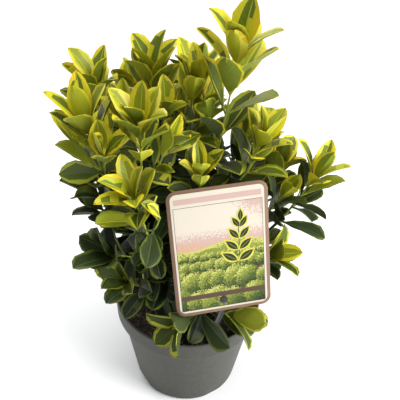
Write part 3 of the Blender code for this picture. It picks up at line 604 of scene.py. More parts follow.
def bearing_way(degrees):
    """The level direction at a bearing from +X."""
    return Vector((math.cos(math.radians(degrees)), math.sin(math.radians(degrees)), 0.0))


def bezier(points, share):
    """The point at a share of the way along a cubic Bezier curve."""
    a, b, c, d = points
    rest = 1 - share
    return a * rest**3 + b * (3 * rest**2 * share) + c * (3 * rest * share**2) + d * share**3


def along_path(path, distance):
    """The point and the direction at a distance along a list of points."""
    for start, end in zip(path, path[1:]):
        step = (end - start).length
        if distance <= step or end is path[-1]:
            way = (end - start).normalized()
            return start + way * min(distance, step), way
        distance -= step


def path_length(path):
    """How long a list of points is from the first to the last."""
    return sum((b - a).length for a, b in zip(path, path[1:]))


def path_ways(path):
    """The direction of a list of points at each of them, by its neighbours."""
    return [(b - a).normalized() for a, b in zip([path[0], *path[:-1]], [*path[1:], path[-1]])]


def cut_path(path, start, end, count):
    """Evenly spaced points of a path between two distances."""
    return [along_path(path, mixed(start, end, i / (count - 1)))[0] for i in range(count)]


def crossways(way, degrees):
    """A direction square to way, turned about it from the level one by an angle."""
    level = way.cross(Vector((0, 0, 1)))
    level = level.normalized() if level.length > 1e-4 else Vector((1, 0, 0))
    return Matrix.Rotation(math.radians(degrees), 3, way) @ level


# The sections and outlines of the made pieces


def card_matrix():
    """Where the card stands: its own +X runs along it, +Y goes to its back and +Z up it."""
    tilts = [math.radians(angle) for angle in CARD_TILTS]
    about_x, about_y, about_z = (Matrix.Rotation(tilt, 4, axis) for tilt, axis in zip(tilts, "XYZ"))
    return Matrix.Translation(CARD_CENTRE) @ about_z @ about_y @ about_x


def pot_profile():
    """The pot's section as (radius, height) points, from the middle of its floor inside to that below."""
    collar_foot = POT_HEIGHT - COLLAR_HEIGHT
    at_collar = mixed(FOOT_RADIUS, LIP_RADIUS - COLLAR_STEP, collar_foot / POT_HEIGHT)
    return [
        (0, BASE_THICKNESS),
        (FOOT_RADIUS - WALL - FOOT_ROUND, BASE_THICKNESS),
        (at_collar - WALL, collar_foot),
        (LIP_RADIUS - 4 * COLLAR_TAPER, POT_HEIGHT - COLLAR_TAPER),
        (LIP_RADIUS - 3 * COLLAR_TAPER, POT_HEIGHT),
        (LIP_RADIUS - COLLAR_TAPER, POT_HEIGHT),
        (LIP_RADIUS, POT_HEIGHT - COLLAR_TAPER),
        (LIP_RADIUS - COLLAR_TAPER, collar_foot + 2 * COLLAR_TAPER),
        (at_collar, collar_foot),
        (FOOT_RADIUS, FOOT_ROUND),
        (FOOT_RADIUS - FOOT_ROUND, 0),
        (0, 0),
    ]


def soil_profile():
    """The root ball's section, from the top of its mound to the middle of its underside."""
    inner_foot = FOOT_RADIUS - WALL - FOOT_ROUND
    filled = (SOIL_TOP - BASE_THICKNESS) / (POT_HEIGHT - BASE_THICKNESS)
    at_top = mixed(inner_foot, LIP_RADIUS - COLLAR_STEP - WALL, filled)
    gap = 2 * TOUCH
    top = [(at_top * share, SOIL_TOP + SOIL_MOUND * (1 - share * share)) for share in MOUND_SHARES]
    foot = BASE_THICKNESS + TOUCH
    return [*top, (at_top - gap, SOIL_TOP), (inner_foot - gap, foot), (0, foot)]


def turned_corners(profile):
    """The corners and faces of a turned shape, for the clearance tests alone."""
    ways = [bearing_way(360 * step / TURN_STEPS) for step in range(TURN_STEPS)]
    points = [way * radius + Vector((0, 0, height)) for radius, height in profile for way in ways]
    return points, quads(len(profile), TURN_STEPS, True).tolist()


def stake_path():
    """The stake's centre line, from its end in the soil up behind the card, and where its peg starts."""
    card = card_matrix()
    behind = CARD_THICKNESS / 2 + TOUCH + STAKE_THICKNESS / 2
    peg = card @ Vector((0, behind, PEG_ABOVE_EDGE - CARD_HEIGHT / 2))
    up = card.col[2].to_3d()
    upright = STAKE_FOOT + Vector((0, 0, STAKE_UPRIGHT))
    controls = (STAKE_FOOT, upright, peg - up * STAKE_LEAN, peg + up * STAKE_ABOVE_PEG)
    above = [bezier(controls, i / STAKE_STEPS) for i in range(STAKE_STEPS + 1)]
    return [STAKE_END, *above], peg


def bar_corners(path, right, width, thickness, foot_share=1.0):
    """The corners and faces of a flat bar along a path, with its foot narrowed by a share."""
    points = []
    for i, (centre, way) in enumerate(zip(path, path_ways(path))):
        back = way.cross(right).normalized() * thickness / 2
        side = back.cross(way).normalized() * width / 2 * (foot_share if i == 0 else 1)
        points += [centre - side - back, centre + side - back, centre + side + back, centre - side + back]
    return points, quads(len(path), 4, True).tolist() + end_caps(len(path), 4)


def stake_corners(grow):
    """The space that the stake's bar takes when grown on all sides, for the clearance tests alone."""
    path, _ = stake_path()
    right = card_matrix().col[0].to_3d()
    path[0] = path[0] - (path[1] - path[0]).normalized() * grow
    return bar_corners(path, right, STAKE_WIDTH + 2 * grow, STAKE_THICKNESS + 2 * grow, STAKE_END_SHARE)


def card_corners():
    """The card as a plain slab from its bottom edge to its top edge, for the clearance tests alone."""
    card = card_matrix()
    up = card.col[2].to_3d() * CARD_HEIGHT / 2
    return bar_corners([CARD_CENTRE - up, CARD_CENTRE + up], card.col[0].to_3d(), CARD_WIDTH, CARD_THICKNESS)


def tube_corners(path, radius, tip_radius):
    """The corners and faces of a tapering tube without caps, for the clearance tests alone."""
    points = []
    for i, (centre, way) in enumerate(zip(path, path_ways(path))):
        size = mixed(radius, tip_radius, i / (len(path) - 1))
        points += [centre + crossways(way, 360 * k / TUBE_SIDES) * size for k in range(TUBE_SIDES)]
    return points, quads(len(path), TUBE_SIDES, True).tolist()


# The plant's rule

Twig = namedtuple("Twig", "mass path radius tip_radius")
Site = namedtuple("Site", "share mass node way across spread length age")
Leaf = namedtuple("Leaf", "mass root along face length width curl fold age")


def limb_paths():
    """The centre line of each limb, from its parent to its tip, and of the short stem."""
    foot = Vector((STEM_FOOT.x, STEM_FOOT.y, SOIL_TOP + SOIL_MOUND + TOUCH))
    above = foot + Vector((0, 0, STEM_FLARE_RADIUS / 2))
    top = foot + STEM_RISE
    paths = {"stem": [foot] + [mixed(above, top, i / STEM_STEPS) for i in range(STEM_STEPS + 1)]}
    for limb in LIMBS:
        parent = paths[limb.parent]
        bough_part = path_length(parent) - (0 if limb.parent == "stem" else leader_of(limb.parent))
        start, onward = along_path(parent, limb.leaves_at * bough_part)
        out = bearing_way(limb.bearing)
        tip = out * limb.reach + Vector((0, 0, limb.height))
        reach = (tip - start).length
        outward = (tip - start).normalized()
        if limb.parent == "stem" and limb.leaves_at < 1:
            first = (out + Vector((0, 0, LEAVING_RISE))).normalized()
        else:
            first = (onward * LEAVING_ONWARD + outward).normalized()
        rise = math.radians(limb.rise)
        last = bearing_way(limb.bearing + limb.swing) * math.cos(rise) + Vector((0, 0, math.sin(rise)))
        controls = (start, start + first * reach * LEAVING_PULL, tip - last * reach * TIP_PULL, tip)
        paths[limb.name] = [bezier(controls, i / PATH_STEPS) for i in range(PATH_STEPS + 1)]
    return paths


def leader_of(name):
    """How long the leader of a limb's mass is."""
    return next(limb.leader for limb in LIMBS if limb.name == name)


def leaf_outline(share):
    """Half the breadth of a leaf at a share of its length, as a share of its greatest half breadth."""
    blade = max(0.0, (share - PETIOLE_SHARE) / (1 - PETIOLE_SHARE))
    widest = LEAF_BASE_POWER / (LEAF_BASE_POWER + LEAF_TIP_POWER)
    peak = widest**LEAF_BASE_POWER * (1 - widest) ** LEAF_TIP_POWER
    return blade**LEAF_BASE_POWER * (1 - blade) ** LEAF_TIP_POWER / peak


def leaf_point(leaf, share, side, lift=0.0, wide=1.0):
    """A point of a leaf: side runs from -1 at its left edge over the midrib to 1, lift is square to it."""
    turn = leaf.curl * share
    arc = leaf.length / leaf.curl
    across = leaf.along.cross(leaf.face)
    middle = leaf.root + leaf.along * (arc * math.sin(turn)) - leaf.face * (arc * (1 - math.cos(turn)))
    up = leaf.face * math.cos(turn) + leaf.along * math.sin(turn)
    half = leaf.width / 2 * leaf_outline(share) * abs(side) * wide
    sideways = across * math.copysign(math.cos(leaf.fold), side) + up * math.sin(leaf.fold)
    return middle + sideways * half + up * lift


def leaf_corners(leaf, start=0.0, swell=0.0):
    """The corners and faces of a leaf's solid: a six-cornered rim folded over a raised middle."""
    thick = leaf.length * LEAF_THICKNESS_SHARE / 2 + swell
    wide = LEAF_RIM_WIDTH + 2 * swell / leaf.width
    near, far = LEAF_RIM_SHARES
    rim = [
        leaf_point(leaf, start, 0) - leaf.along * LEAF_ROOT_DEPTH,
        leaf_point(leaf, near, 1, wide=wide),
        leaf_point(leaf, far, 1, wide=wide),
        leaf_point(leaf, 1, 0) + leaf.along * swell,
        leaf_point(leaf, far, -1, wide=wide),
        leaf_point(leaf, near, -1, wide=wide),
    ]
    middles = [leaf_point(leaf, LEAF_MIDDLE_SHARE, 0, lift) for lift in (thick, -thick)]
    faces = [(i, (i + 1) % 6, 6) for i in range(6)] + [((i + 1) % 6, i, 7) for i in range(6)]
    return rim + middles, faces


def measured(points, faces):
    """A shape's middle, its reach from there and the tree of its faces."""
    centre = sum(points, Vector()) / len(points)
    reach = max((point - centre).length for point in points)
    return centre, reach, BVHTree.FromPolygons([tuple(point) for point in points], faces)


class Space:
    """What has been placed so far, so that a new leaf or twig can be kept clear of it."""

    def __init__(self):
        self.taken = []

    def add(self, owner, points, faces):
        """Take up room with a shape of an owner."""
        self.taken.append((owner, *measured(points, faces)))

    def meets(self, owner, points, faces, blade=None):
        """Whether a shape crosses anything of another owner, or its blade crosses a leaf of its own."""
        centre, reach, tree = measured(points, faces)
        own_tree = measured(*blade)[2] if blade else None
        for other, other_centre, other_reach, other_tree in self.taken:
            if (centre - other_centre).length > reach + other_reach:
                continue
            if other != owner:
                if tree.overlap(other_tree):
                    return True
            elif own_tree and own_tree.overlap(other_tree):
                return True
        return False


def before_card(point):
    """Whether a point would stand in front of the label card, where nothing hides it."""
    card = card_matrix()
    right, back, up = (card.col[i].to_3d() for i in range(3))
    gap = (point - CARD_CENTRE).dot(-back)
    ahead = gap / VIEW_WAY.dot(-back)
    if ahead < -CARD_MARGIN:
        return False
    flat = point - CARD_CENTRE - VIEW_WAY * ahead
    wide, tall = CARD_WIDTH / 2 + CARD_MARGIN, CARD_HEIGHT / 2 + CARD_MARGIN
    return abs(flat.dot(right)) < wide and abs(flat.dot(up)) < tall


def off_limits(points):
    """Whether a leaf or twig would hang too low outside the pot, or stand before the label."""
    return any(point.z < LOWEST_LEAF or before_card(point) for point in points)


def leaf_sites(dice, twig, pairs, length, first, youngest):
    """Where a twig bears its leaves: crossed pairs that close up and stand steeper towards its tip."""
    sites = []
    whole = path_length(twig.path)
    turn = dice.uniform(0, 90)
    for pair in range(pairs):
        share = pair / (pairs - 1)
        node, way = along_path(twig.path, whole * mixed(first, LAST_PAIR, 1 - (1 - share) ** 2))
        spread = mixed(*SPREADS, share**SPREAD_POWER)
        size = length * mixed(1.0, TIP_SIZE, share)
        risen = max(0.0, min(1.0, (node.z - OLD_BELOW) / (YOUNG_ABOVE - OLD_BELOW)))
        age = mixed(mixed(OLD_AGE, YOUNG_AGE, risen), youngest, share)
        for side in (0, 180):
            across = crossways(way, turn + 90 * pair + side)
            sites.append(Site(share, twig.mass, node, way, across, spread, size, age))
    return sites


def grow_leaf(space, dice, site):
    """One leaf at its site, turned, shortened or left out until it is clear of what stands."""
    for attempt in range(TRIES):
        wander = attempt / TRIES
        turn = dice.uniform(-LEAF_TURN, LEAF_TURN) + dice.uniform(-WANDER_TURN, WANDER_TURN) * wander
        tilt = dice.uniform(-LEAF_TILT, LEAF_TILT) + dice.uniform(-WANDER_TILT, WANDER_TILT) * wander
        turn, tilt = math.radians(turn), math.radians(site.spread + tilt)
        out = Matrix.Rotation(turn, 3, site.way) @ site.across
        along = (site.way * math.cos(tilt) + out * math.sin(tilt)).normalized()
        face = (site.way * math.sin(tilt) - out * math.cos(tilt)).normalized()
        size = site.length * dice.uniform(*LEAF_SIZES) * (1 - WANDER_SHRINK * wander)
        width = size * mixed(LEAF_BREADTH, OLD_BREADTH, min(1.0, site.age)) * dice.uniform(*LEAF_WIDTHS)
        curl = math.radians(dice.uniform(*LEAF_CURLS) * (HOLLOW_CURL if dice.random() < HOLLOW_SHARE else 1))
        fold = math.radians(dice.uniform(*LEAF_FOLDS))
        leaf = Leaf(site.mass, site.node, along, face, size, width, curl, fold, site.age)
        points, faces = leaf_corners(leaf, 0.0, CLEARANCE)
        if off_limits(points[1:]):
            continue
        if space.meets(site.mass, points, faces, leaf_corners(leaf, BLADE_START, CLEARANCE)):
            continue
        space.add(site.mass, *leaf_corners(leaf))
        return leaf
    return None


def grow_plant(space, dice):
    """Every limb's bough and the twigs and leaves of its mass: (paths, boughs, twigs, leaves)."""
    paths = limb_paths()
    space.add("pot", *turned_corners(pot_profile()))
    space.add("pot", *turned_corners(soil_profile()))
    space.add("label", *stake_corners(2 * CLEARANCE))
    space.add("label", *card_corners())
    space.add("stem", *tube_corners(paths["stem"], STEM_FLARE_RADIUS, STEM_TOP_RADIUS))
    boughs, twigs, sites = {}, [], []
    for limb in LIMBS:
        path = paths[limb.name]
        split = path_length(path) - limb.leader
        boughs[limb.name] = cut_path(path, 0, split, LIMB_POINTS)
        leader = cut_path(path, split + TOUCH, path_length(path), LEADER_POINTS)
        twigs.append(Twig(limb.name, leader, TWIG_RADIUS, TWIG_TIP_RADIUS))
        radii = (BOUGH_RADIUS + CLEARANCE, BOUGH_TIP_RADIUS + CLEARANCE)
        space.add("bough", *tube_corners(boughs[limb.name], *radii))
        space.add(limb.name, *tube_corners(leader, TWIG_RADIUS, TWIG_TIP_RADIUS))
    for limb, leader in zip(LIMBS, list(twigs)):
        sites += leaf_sites(dice, leader, limb.pairs, limb.leaf, FIRST_PAIR, limb.age)
        for sprig in grow_sprigs(space, dice, limb, leader):
            length = limb.leaf * SPRIG_LEAF_SHARE
            sites += leaf_sites(dice, sprig, SPRIG_PAIRS, length, SPRIG_FIRST_PAIR, limb.age)
            twigs.append(sprig)
    sites.sort(key=lambda site: -site.share)
    leaves = [leaf for leaf in (grow_leaf(space, dice, site) for site in sites) if leaf]
    return paths, boughs, twigs, leaves


def grow_sprigs(space, dice, limb, leader):
    """The side twigs of a leader, which leave it at its lower nodes on alternate sides."""
    sprigs = []
    side = dice.uniform(0, 360)
    whole = path_length(leader.path)
    for number in range(limb.sprigs):
        node, way = along_path(leader.path, whole * (SPRIG_NODES[0] + SPRIG_NODES[1] * number))
        for attempt in range(TRIES):
            across = crossways(way, side + 180 * number + dice.uniform(-SPRIG_TURN, SPRIG_TURN))
            way_out = (way * SPRIG_OUT[0] + across * SPRIG_OUT[1]).normalized()
            length = limb.leader * dice.uniform(*SPRIG_LENGTHS)
            bend = (way_out * SPRIG_BEND[0] + Vector((0, 0, SPRIG_BEND[1]))).normalized()
            path = [node, node + way_out * length * 0.5, node + (way_out + bend) * length * 0.5]
            points, faces = tube_corners(path[1:], SPRIG_RADIUS + CLEARANCE, SPRIG_RADIUS)
            if off_limits(path) or space.meets(limb.name, points, faces, (points, faces)):
                continue
            space.add(limb.name, *tube_corners(path, SPRIG_RADIUS, TWIG_TIP_RADIUS))
            sprigs.append(Twig(limb.name, path, SPRIG_RADIUS, TWIG_TIP_RADIUS))
            break
    return sprigs


def grow_inner_leaves(space, dice, boughs):
    """The older leaves on the outer part of each bough, in crossed pairs, dark and wide open."""
    leaves = []
    for limb in LIMBS:
        if limb.name in BARE_BOUGHS:
            continue
        path = boughs[limb.name]
        whole = path_length(path)
        pairs = int(whole * (1 - INNER_START) / INNER_SPACING)
        turn = dice.uniform(0, 90)
        for pair in range(pairs):
            node, way = along_path(path, whole - INNER_SPACING * (pair + INNER_FIRST))
            for side in (0, 180):
                across = crossways(way, turn + 90 * pair + side)
                site = Site(0, "bough", node, way, across, INNER_SPREAD, limb.leaf, INNER_AGE)
                leaves.append(grow_leaf(space, dice, site))
    return [leaf for leaf in leaves if leaf]


def grow_tip_leaves(space, dice, twigs):
    """A pair of small new leaves at the tip of every twig."""
    leaves = []
    for twig in twigs:
        node, way = along_path(twig.path, path_length(twig.path))
        turn = dice.uniform(0, 360)
        for side in (0, 180):
            length = TIP_LEAF_LENGTH * dice.uniform(*TIP_LEAF_SIZES)
            across = crossways(way, turn + side)
            site = Site(1, twig.mass, node, way, across, TIP_LEAF_SPREAD, length, 0)
            leaves.append(grow_leaf(space, dice, site))
    return [leaf for leaf in leaves if leaf]


# Surfaces


def put(name, stuff, points, faces, slots=None, finishes=(), smooth=True):
    """An object from points and faces on the root body, in the finishes given; the record's material named
    for it is not used.
    """
    mesh = bpy.data.meshes.new(name)
    mesh.from_pydata(np.asarray(points).reshape(-1, 3).tolist(), [], faces)
    for finish in finishes:
        mesh.materials.append(finish)
    if slots is not None:
        mesh.polygons.foreach_set("material_index", np.asarray(slots, dtype=np.int32))
    mesh.polygons.foreach_set("use_smooth", np.full(len(faces), smooth))
    mesh.set_sharp_from_angle(angle=SHARP_ANGLE)
    mesh.validate()
    made = bpy.data.objects.new(name, mesh)
    bpy.context.scene.collection.objects.link(made)
    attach(made, "root")
    return made


def quads(rows, columns, closed=False):
    """The quads of a grid of points: neighbours along both ways, and round again where it is closed."""
    steps = columns if closed else columns - 1
    row, column = np.meshgrid(np.arange(rows - 1), np.arange(steps), indexing="ij")
    after = (column + 1) % columns
    a, b = row * columns + column, row * columns + after
    return np.stack([a, b, b + columns, a + columns], axis=-1).reshape(-1, 4)


def joined(pieces):
    """Several (points, faces) into one: each list of faces is raised by the points before it."""
    points, faces, before = [], [], 0
    for some_points, some_faces in pieces:
        some_points = np.asarray(some_points).reshape(-1, 3)
        faces += [[int(corner) + before for corner in face] for face in some_faces]
        points.append(some_points)
        before += len(some_points)
    return np.concatenate(points), faces


def wobble(points, scale, seed):
    """Smooth noise between about -1 and 1: a sum of sine waves of the place in seeded directions."""
    rng = np.random.default_rng(seed)
    total = np.zeros(points.shape[:-1])
    for number in range(NOISE_WAVES):
        way = rng.normal(size=3)
        way /= np.linalg.norm(way)
        phase = points @ way * scale * (1 + NOISE_FINER * number) + rng.uniform(0, NOISE_TURN)
        total += np.sin(phase) / (1 + NOISE_FAINTER * number)
    return total / NOISE_SUM


def spline(points, count):
    """Evenly spread points of a smooth curve through a few: Catmull-Rom, by the four nearest."""
    points = np.array([tuple(point) for point in points])
    padded = np.concatenate([[2 * points[0] - points[1]], points, [2 * points[-1] - points[-2]]])
    place = np.linspace(0, len(points) - 1 - 1e-9, count)
    index = place.astype(int)
    t = (place - index)[:, None]
    a, b, c, d = (padded[index + step] for step in range(4))
    return 0.5 * (2 * b + (c - a) * t + (2 * a - 5 * b + 4 * c - d) * t**2 + (3 * b - a - 3 * c + d) * t**3)


def unit(vectors):
    """Rows of vectors, each brought to a length of 1."""
    return vectors / np.linalg.norm(vectors, axis=1, keepdims=True)


def sweep(centres, radii, sides, relief=None):
    """A tube: each ring is centre + radius * (1 + relief) * (cos * normal + sin * binormal), with caps."""
    tangents = unit(np.gradient(centres, axis=0))
    aside = np.eye(3)[np.argmin(np.abs(tangents).sum(axis=0))]
    normals = unit(np.cross(tangents, aside))
    binormals = np.cross(tangents, normals)
    angle = np.linspace(0, 2 * np.pi, sides, endpoint=False)[None, :, None]
    ring = normals[:, None] * np.cos(angle) + binormals[:, None] * np.sin(angle)
    size = np.asarray(radii)[:, None, None]
    if relief is not None:
        size = size * (1 + relief(centres[:, None] + ring * size, angle[..., 0])[..., None])
    points = centres[:, None] + ring * size
    return points, quads(len(centres), sides, True).tolist() + end_caps(len(centres), sides)


def end_caps(rings, sides):
    """The faces that close a row of rings at its first and its last one."""
    last = (rings - 1) * sides
    return [list(range(sides))[::-1], list(range(last, last + sides))]


# Leaves


def leaf_values(leaves, name):
    """One vector of every leaf, shaped to spread over its rows and columns."""
    return np.array([tuple(getattr(leaf, name)) for leaf in leaves])[:, None, None, :]


def leaf_numbers(leaves, name):
    """One number of every leaf, shaped likewise."""
    return np.array([getattr(leaf, name) for leaf in leaves])[:, None, None]


def variegation(leaves, rng):
    """Where across each half leaf its green middle and its splashes end, by row, and the border beneath.

    The young leaf's margin is broad and its border runs in and out from row to row, and the old
    leaf's is narrow. Here and there half a leaf is nearly all gold. All the borders close in towards
    the tip, and the one beneath is even.
    """
    age = np.clip(leaf_numbers(leaves, "age"), 0, 1)
    share = np.array(LEAF_ROWS)[None, :, None]
    halves, cells = (len(leaves), 1, 2), (len(leaves), len(LEAF_ROWS), 2)
    young, old = rng.normal(*YOUNG_BORDER, halves), rng.normal(*OLD_BORDER, halves)
    border = young * (1 - age) + old * age
    golden = rng.random(halves) < GOLDEN_CHANCE * (1 - age)
    border = np.where(golden, border * GOLDEN_BORDER, border)
    flames = rng.normal(0, 1, cells) * (YOUNG_FLAMES * (1 - age) + OLD_FLAMES * age)
    closing = 1 - BORDER_CLOSING * np.clip((share - CLOSING_FROM) / (1 - CLOSING_FROM), 0, 1) ** CLOSING_POWER
    even = np.clip(border * closing, *BORDER_LIMITS)
    outer = np.clip((border + flames) * closing, *BORDER_LIMITS)
    young, old = rng.uniform(*YOUNG_SPLASH, cells), rng.uniform(*OLD_SPLASH, cells)
    inner = np.clip(outer - (young * (1 - age) + old * age), *MIDDLE_LIMITS)
    return inner, outer, even


def blade_outline(age):
    """Half the breadth of each leaf by row, as a share of its greatest: the rule's curve, blunter with age.

    base ** b * (1 - base) ** t over its own greatest value, where t falls from the young leaf's to the old's.
    """
    blade = np.clip((np.array(LEAF_ROWS) - PETIOLE_SHARE) / (1 - PETIOLE_SHARE), 0, 1)[None, :, None]
    tip = mixed(LEAF_TIP_POWER, OLD_TIP_POWER, age)
    widest = LEAF_BASE_POWER / (LEAF_BASE_POWER + tip)
    return blade**LEAF_BASE_POWER * (1 - blade) ** tip / (widest**LEAF_BASE_POWER * (1 - widest) ** tip)


def leaf_columns(leaves, rng):
    """Where each column of points stands across its leaf, from -1 to 1, and how far it lies below the top."""
    inner, outer, even = variegation(leaves, rng)
    edge = np.ones((len(leaves), len(LEAF_ROWS), 1))
    rib = np.full(edge.shape, LEAF_RIB)
    top = [-edge, -outer[..., :1], -inner[..., :1], -rib, rib, inner[..., 1:], outer[..., 1:], edge]
    beneath = [even[..., 1:], 0 * rib, -even[..., :1]]
    depth = LEAF_MIDDLE_DEPTH * np.array([0] * len(top) + list(UNDERSIDE_DEPTHS))
    return np.concatenate(top + beneath, axis=2), depth


def leaf_points(leaves, rng):
    """Every leaf as a closed ring of columns round the blade, by rows along the midrib's arc.

    middle = root + along * (length / curl) * sin(curl * share) - face * (length / curl) * (1 - cos).
    A column at side s stands half * s out, raised by the fold, by a crown of s * (1 - s) and by a wave
    along the edge. The three columns beneath are a hair lower, deepest under the midrib.
    """
    side, depth = leaf_columns(leaves, rng)
    count, rows = len(leaves), len(LEAF_ROWS)
    share = np.array(LEAF_ROWS)[None, :, None]
    along, face, root = (leaf_values(leaves, name) for name in ("along", "face", "root"))
    length, width, curl, fold = (leaf_numbers(leaves, name) for name in ("length", "width", "curl", "fold"))
    turn = curl * share
    arc = length / curl
    middle = root + along * (arc * np.sin(turn))[..., None] - face * (arc * (1 - np.cos(turn)))[..., None]
    up = face * np.cos(turn)[..., None] + along * np.sin(turn)[..., None]
    outline = blade_outline(np.clip(leaf_numbers(leaves, "age"), 0, 1))
    ragged = 1 + EDGE_RAGGED * rng.normal(size=(count, rows, 1))
    half = np.maximum(width / 2 * outline * ragged, PETIOLE_HALF_WIDTH * (1 - PETIOLE_TAPER * share))
    phase = rng.uniform(0, 2 * np.pi, (count, 1, 1))
    turns = 2 * np.pi * WAVE_TURNS * share + phase + WAVE_SHIFT * np.sign(side)
    wave = WAVE_HEIGHT * length * np.sin(turns) * side**2
    crown = CROWN_HEIGHT * half * np.abs(side) * (1 - np.abs(side))
    ridged = np.where(np.arange(rows) % 2, 1, -1)[None, :, None] * (np.abs(side) > LEAF_RIB)
    folded = np.abs(side) * half * np.sin(fold)
    growing = np.clip(share * WAVE_GROWTH, 0, 1)
    lift = folded + crown + wave * growing + VEIN_HEIGHT * half * ridged - depth
    points = middle + np.cross(along, face) * (side * half * np.cos(fold))[..., None] + up * lift[..., None]
    return points, np.stack([np.broadcast_to(share, side.shape), side], axis=-1)


def leaf_colour(part, age, deal):
    """The colour of one part of a leaf: its age picks the choices, and a chance share one of them."""
    choices = next(names for oldest, names in LEAF_AGES[part] if age < oldest)
    return choices[int(deal * len(choices))]


def painted_light_age(leaf):
    """A leaf's age for its colours: older and darker low in the shrub as painted shade, and younger and
    brighter on the limbs in the sun as painted light.
    """
    # Painted shade: the lower leaves get darker colours. Painted light: the leaves on the limbs in the sun
    # get brighter ones
    shaded = min(1.0, max(0.0, (LIT_ABOVE - leaf.root.z) / (LIT_ABOVE - SHADED_BELOW)))
    return leaf.age + PAINTED_SHADE_BELOW * shaded - (PAINTED_SUNLIGHT_YOUTH if leaf.mass in PAINTED_SUNLIT_LIMBS else 0)


def leaf_slots(leaves, rng):
    """A colour for every face of every leaf, by its strip, with chance flecks of the strip beside it."""
    count, rows = len(leaves), len(LEAF_ROWS) - 1
    names = list(LEAF_COLOURS)
    ages = [painted_light_age(leaf) + AGE_CHANCE * rng.uniform(-1, 1) for leaf in leaves]
    deals = rng.random(count)
    parts = {
        part: np.array([names.index(leaf_colour(part, age, deal)) for age, deal in zip(ages, deals)])
        for part in LEAF_AGES
    }
    slots = np.repeat(np.stack([parts[strip] for strip in LEAF_STRIPS], axis=1)[:, None], rows, axis=1)
    chance = rng.random(slots.shape)
    splash = np.array([strip == "splash" for strip in LEAF_STRIPS])[None, None]
    middle = np.array([strip == "middle" for strip in LEAF_STRIPS])[None, None]
    slots = np.where(splash & (chance < GOLD_FLECKS), parts["margin"][:, None, None], slots)
    slots = np.where(splash & (chance > 1 - GREEN_FLECKS), parts["middle"][:, None, None], slots)
    slots = np.where(middle & (chance < LIME_FLECKS), parts["splash"][:, None, None], slots)
    slots[:, 0] = parts["rib"][:, None]
    ends = np.stack([parts["rib"], parts["margin"]], axis=1)
    return np.concatenate([slots.reshape(count, -1), ends], axis=1).ravel()


def make_leaves(name, leaves, finishes, seed):
    """Leaves as one piece: each a closed ring of strips with a cap at its foot and one at its tip."""
    rng = np.random.default_rng(seed)
    rows, columns = len(LEAF_ROWS), len(LEAF_STRIPS)
    points, places = leaf_points(leaves, rng)
    blade_faces = quads(rows, columns, True).tolist() + end_caps(rows, columns)
    starts = range(0, len(leaves) * rows * columns, rows * columns)
    faces = [[corner + start for corner in face] for start in starts for face in blade_faces]
    made = put(name, "foliage", points, faces, leaf_slots(leaves, rng), finishes)
    corners = np.empty(len(made.data.loops), dtype=np.int32)
    made.data.loops.foreach_get("vertex_index", corners)
    blade = made.data.uv_layers.new(name="blade")
    blade.uv.foreach_set("vector", places.reshape(-1, 2)[corners].astype(np.float32).ravel())
    return made


# Stems


def bark_relief(seed, ridge, knot):
    """Relief of bark: shallow ridges that wind along the limb, with coarse and fine noise between them."""
    def relief(points, angle):
        """How far each point stands out, as a share of the limb's radius."""
        ridges = ridge * np.sin(BARK_RIDGES * angle + BARK_TWIST * points[..., 2])
        coarse, fine = (wobble(points, scale, seed + number) for number, scale in enumerate(BARK_SCALES))
        return ridges + knot * (coarse + fine / 2)
    return relief


def knotted(radii, length):
    """Radii with a slight swelling at each pair of leaves, every INNER_SPACING along."""
    along = np.linspace(0, length, len(radii))
    from_knot = (along / INNER_SPACING) % 1 - 0.5
    return np.asarray(radii) * (1 + KNOT_SWELL * np.exp(-(from_knot / KNOT_LENGTH) ** 2))


def limb_tube(path, thick, thin, fewest, sides, relief):
    """A limb's tapering tube along a smooth curve, with its knots and the relief of its bark."""
    whole = path_length(path)
    line = spline(path, max(fewest, int(whole / RING_SPACING)))
    return sweep(line, knotted(np.linspace(thick, thin, len(line)), whole), sides, relief)


def make_stems(paths, boughs, twigs, finishes):
    """The short stem and every bough in bark, and the leaders and sprigs in green."""
    share = np.linspace(0, 1, STEM_RINGS)
    flare = (STEM_FLARE_RADIUS - STEM_RADIUS) * (1 - share) ** FLARE_POWER
    radii = mixed(STEM_RADIUS, STEM_TOP_RADIUS, share) + flare
    relief = bark_relief(STEM_SEED, *STEM_RELIEF)
    trunk = sweep(spline(paths["stem"], STEM_RINGS), radii, STEM_SIDES, relief)
    stem = put("short_stem_bark", "bark", *trunk, finishes=[finishes["bark"]])
    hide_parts("short_stem")
    woody, green = [], []
    for number, limb in enumerate(LIMBS):
        thick = BOUGH_RADIUS if limb.leaves_at == 1.0 else SIDE_BOUGH_RADIUS
        relief = bark_relief(BOUGH_SEED + number, *BOUGH_RELIEF)
        woody.append(limb_tube(boughs[limb.name], thick, BOUGH_TIP_RADIUS, *BOUGH_MESH, relief))
    for number, twig in enumerate(twigs):
        relief = bark_relief(SHOOT_SEED + number, *SHOOT_RELIEF)
        green.append(limb_tube(twig.path, twig.radius, twig.tip_radius, *SHOOT_MESH, relief))
    bark = put("bough_bark", "bark", *joined(woody), finishes=[finishes["bark"]])
    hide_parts(*[f"bough_{limb.name}" for limb in LIMBS])
    put("green_shoots", "bark", *joined(green), finishes=[finishes["shoot"]])


# The pot and its soil


def rounded(corners):
    """A profile with its corners rounded by quadratic curves: each corner is (radius, height, rounding)."""
    flat = np.array([corner[:2] for corner in corners], dtype=float)
    out = [flat[0]]
    for i in range(1, len(flat) - 1):
        fillet = corners[i][2]
        before, after = unit(np.array([flat[i - 1] - flat[i], flat[i + 1] - flat[i]]))
        start, end = flat[i] + before * fillet, flat[i] + after * fillet
        t = np.linspace(0, 1, ROUNDING_STEPS)[:, None]
        out += list((1 - t) ** 2 * start + 2 * t * (1 - t) * flat[i] + t**2 * end)
    return np.array(out + [flat[-1]])


def spread_out(profile, longest):
    """The same profile with points added, so that no step is longer than a given one."""
    out = [profile[0]]
    for start, end in zip(profile, profile[1:]):
        parts = max(1, int(np.ceil(np.linalg.norm(end - start) / longest)))
        out += [start + (end - start) * (k + 1) / parts for k in range(parts)]
    return np.array(out)


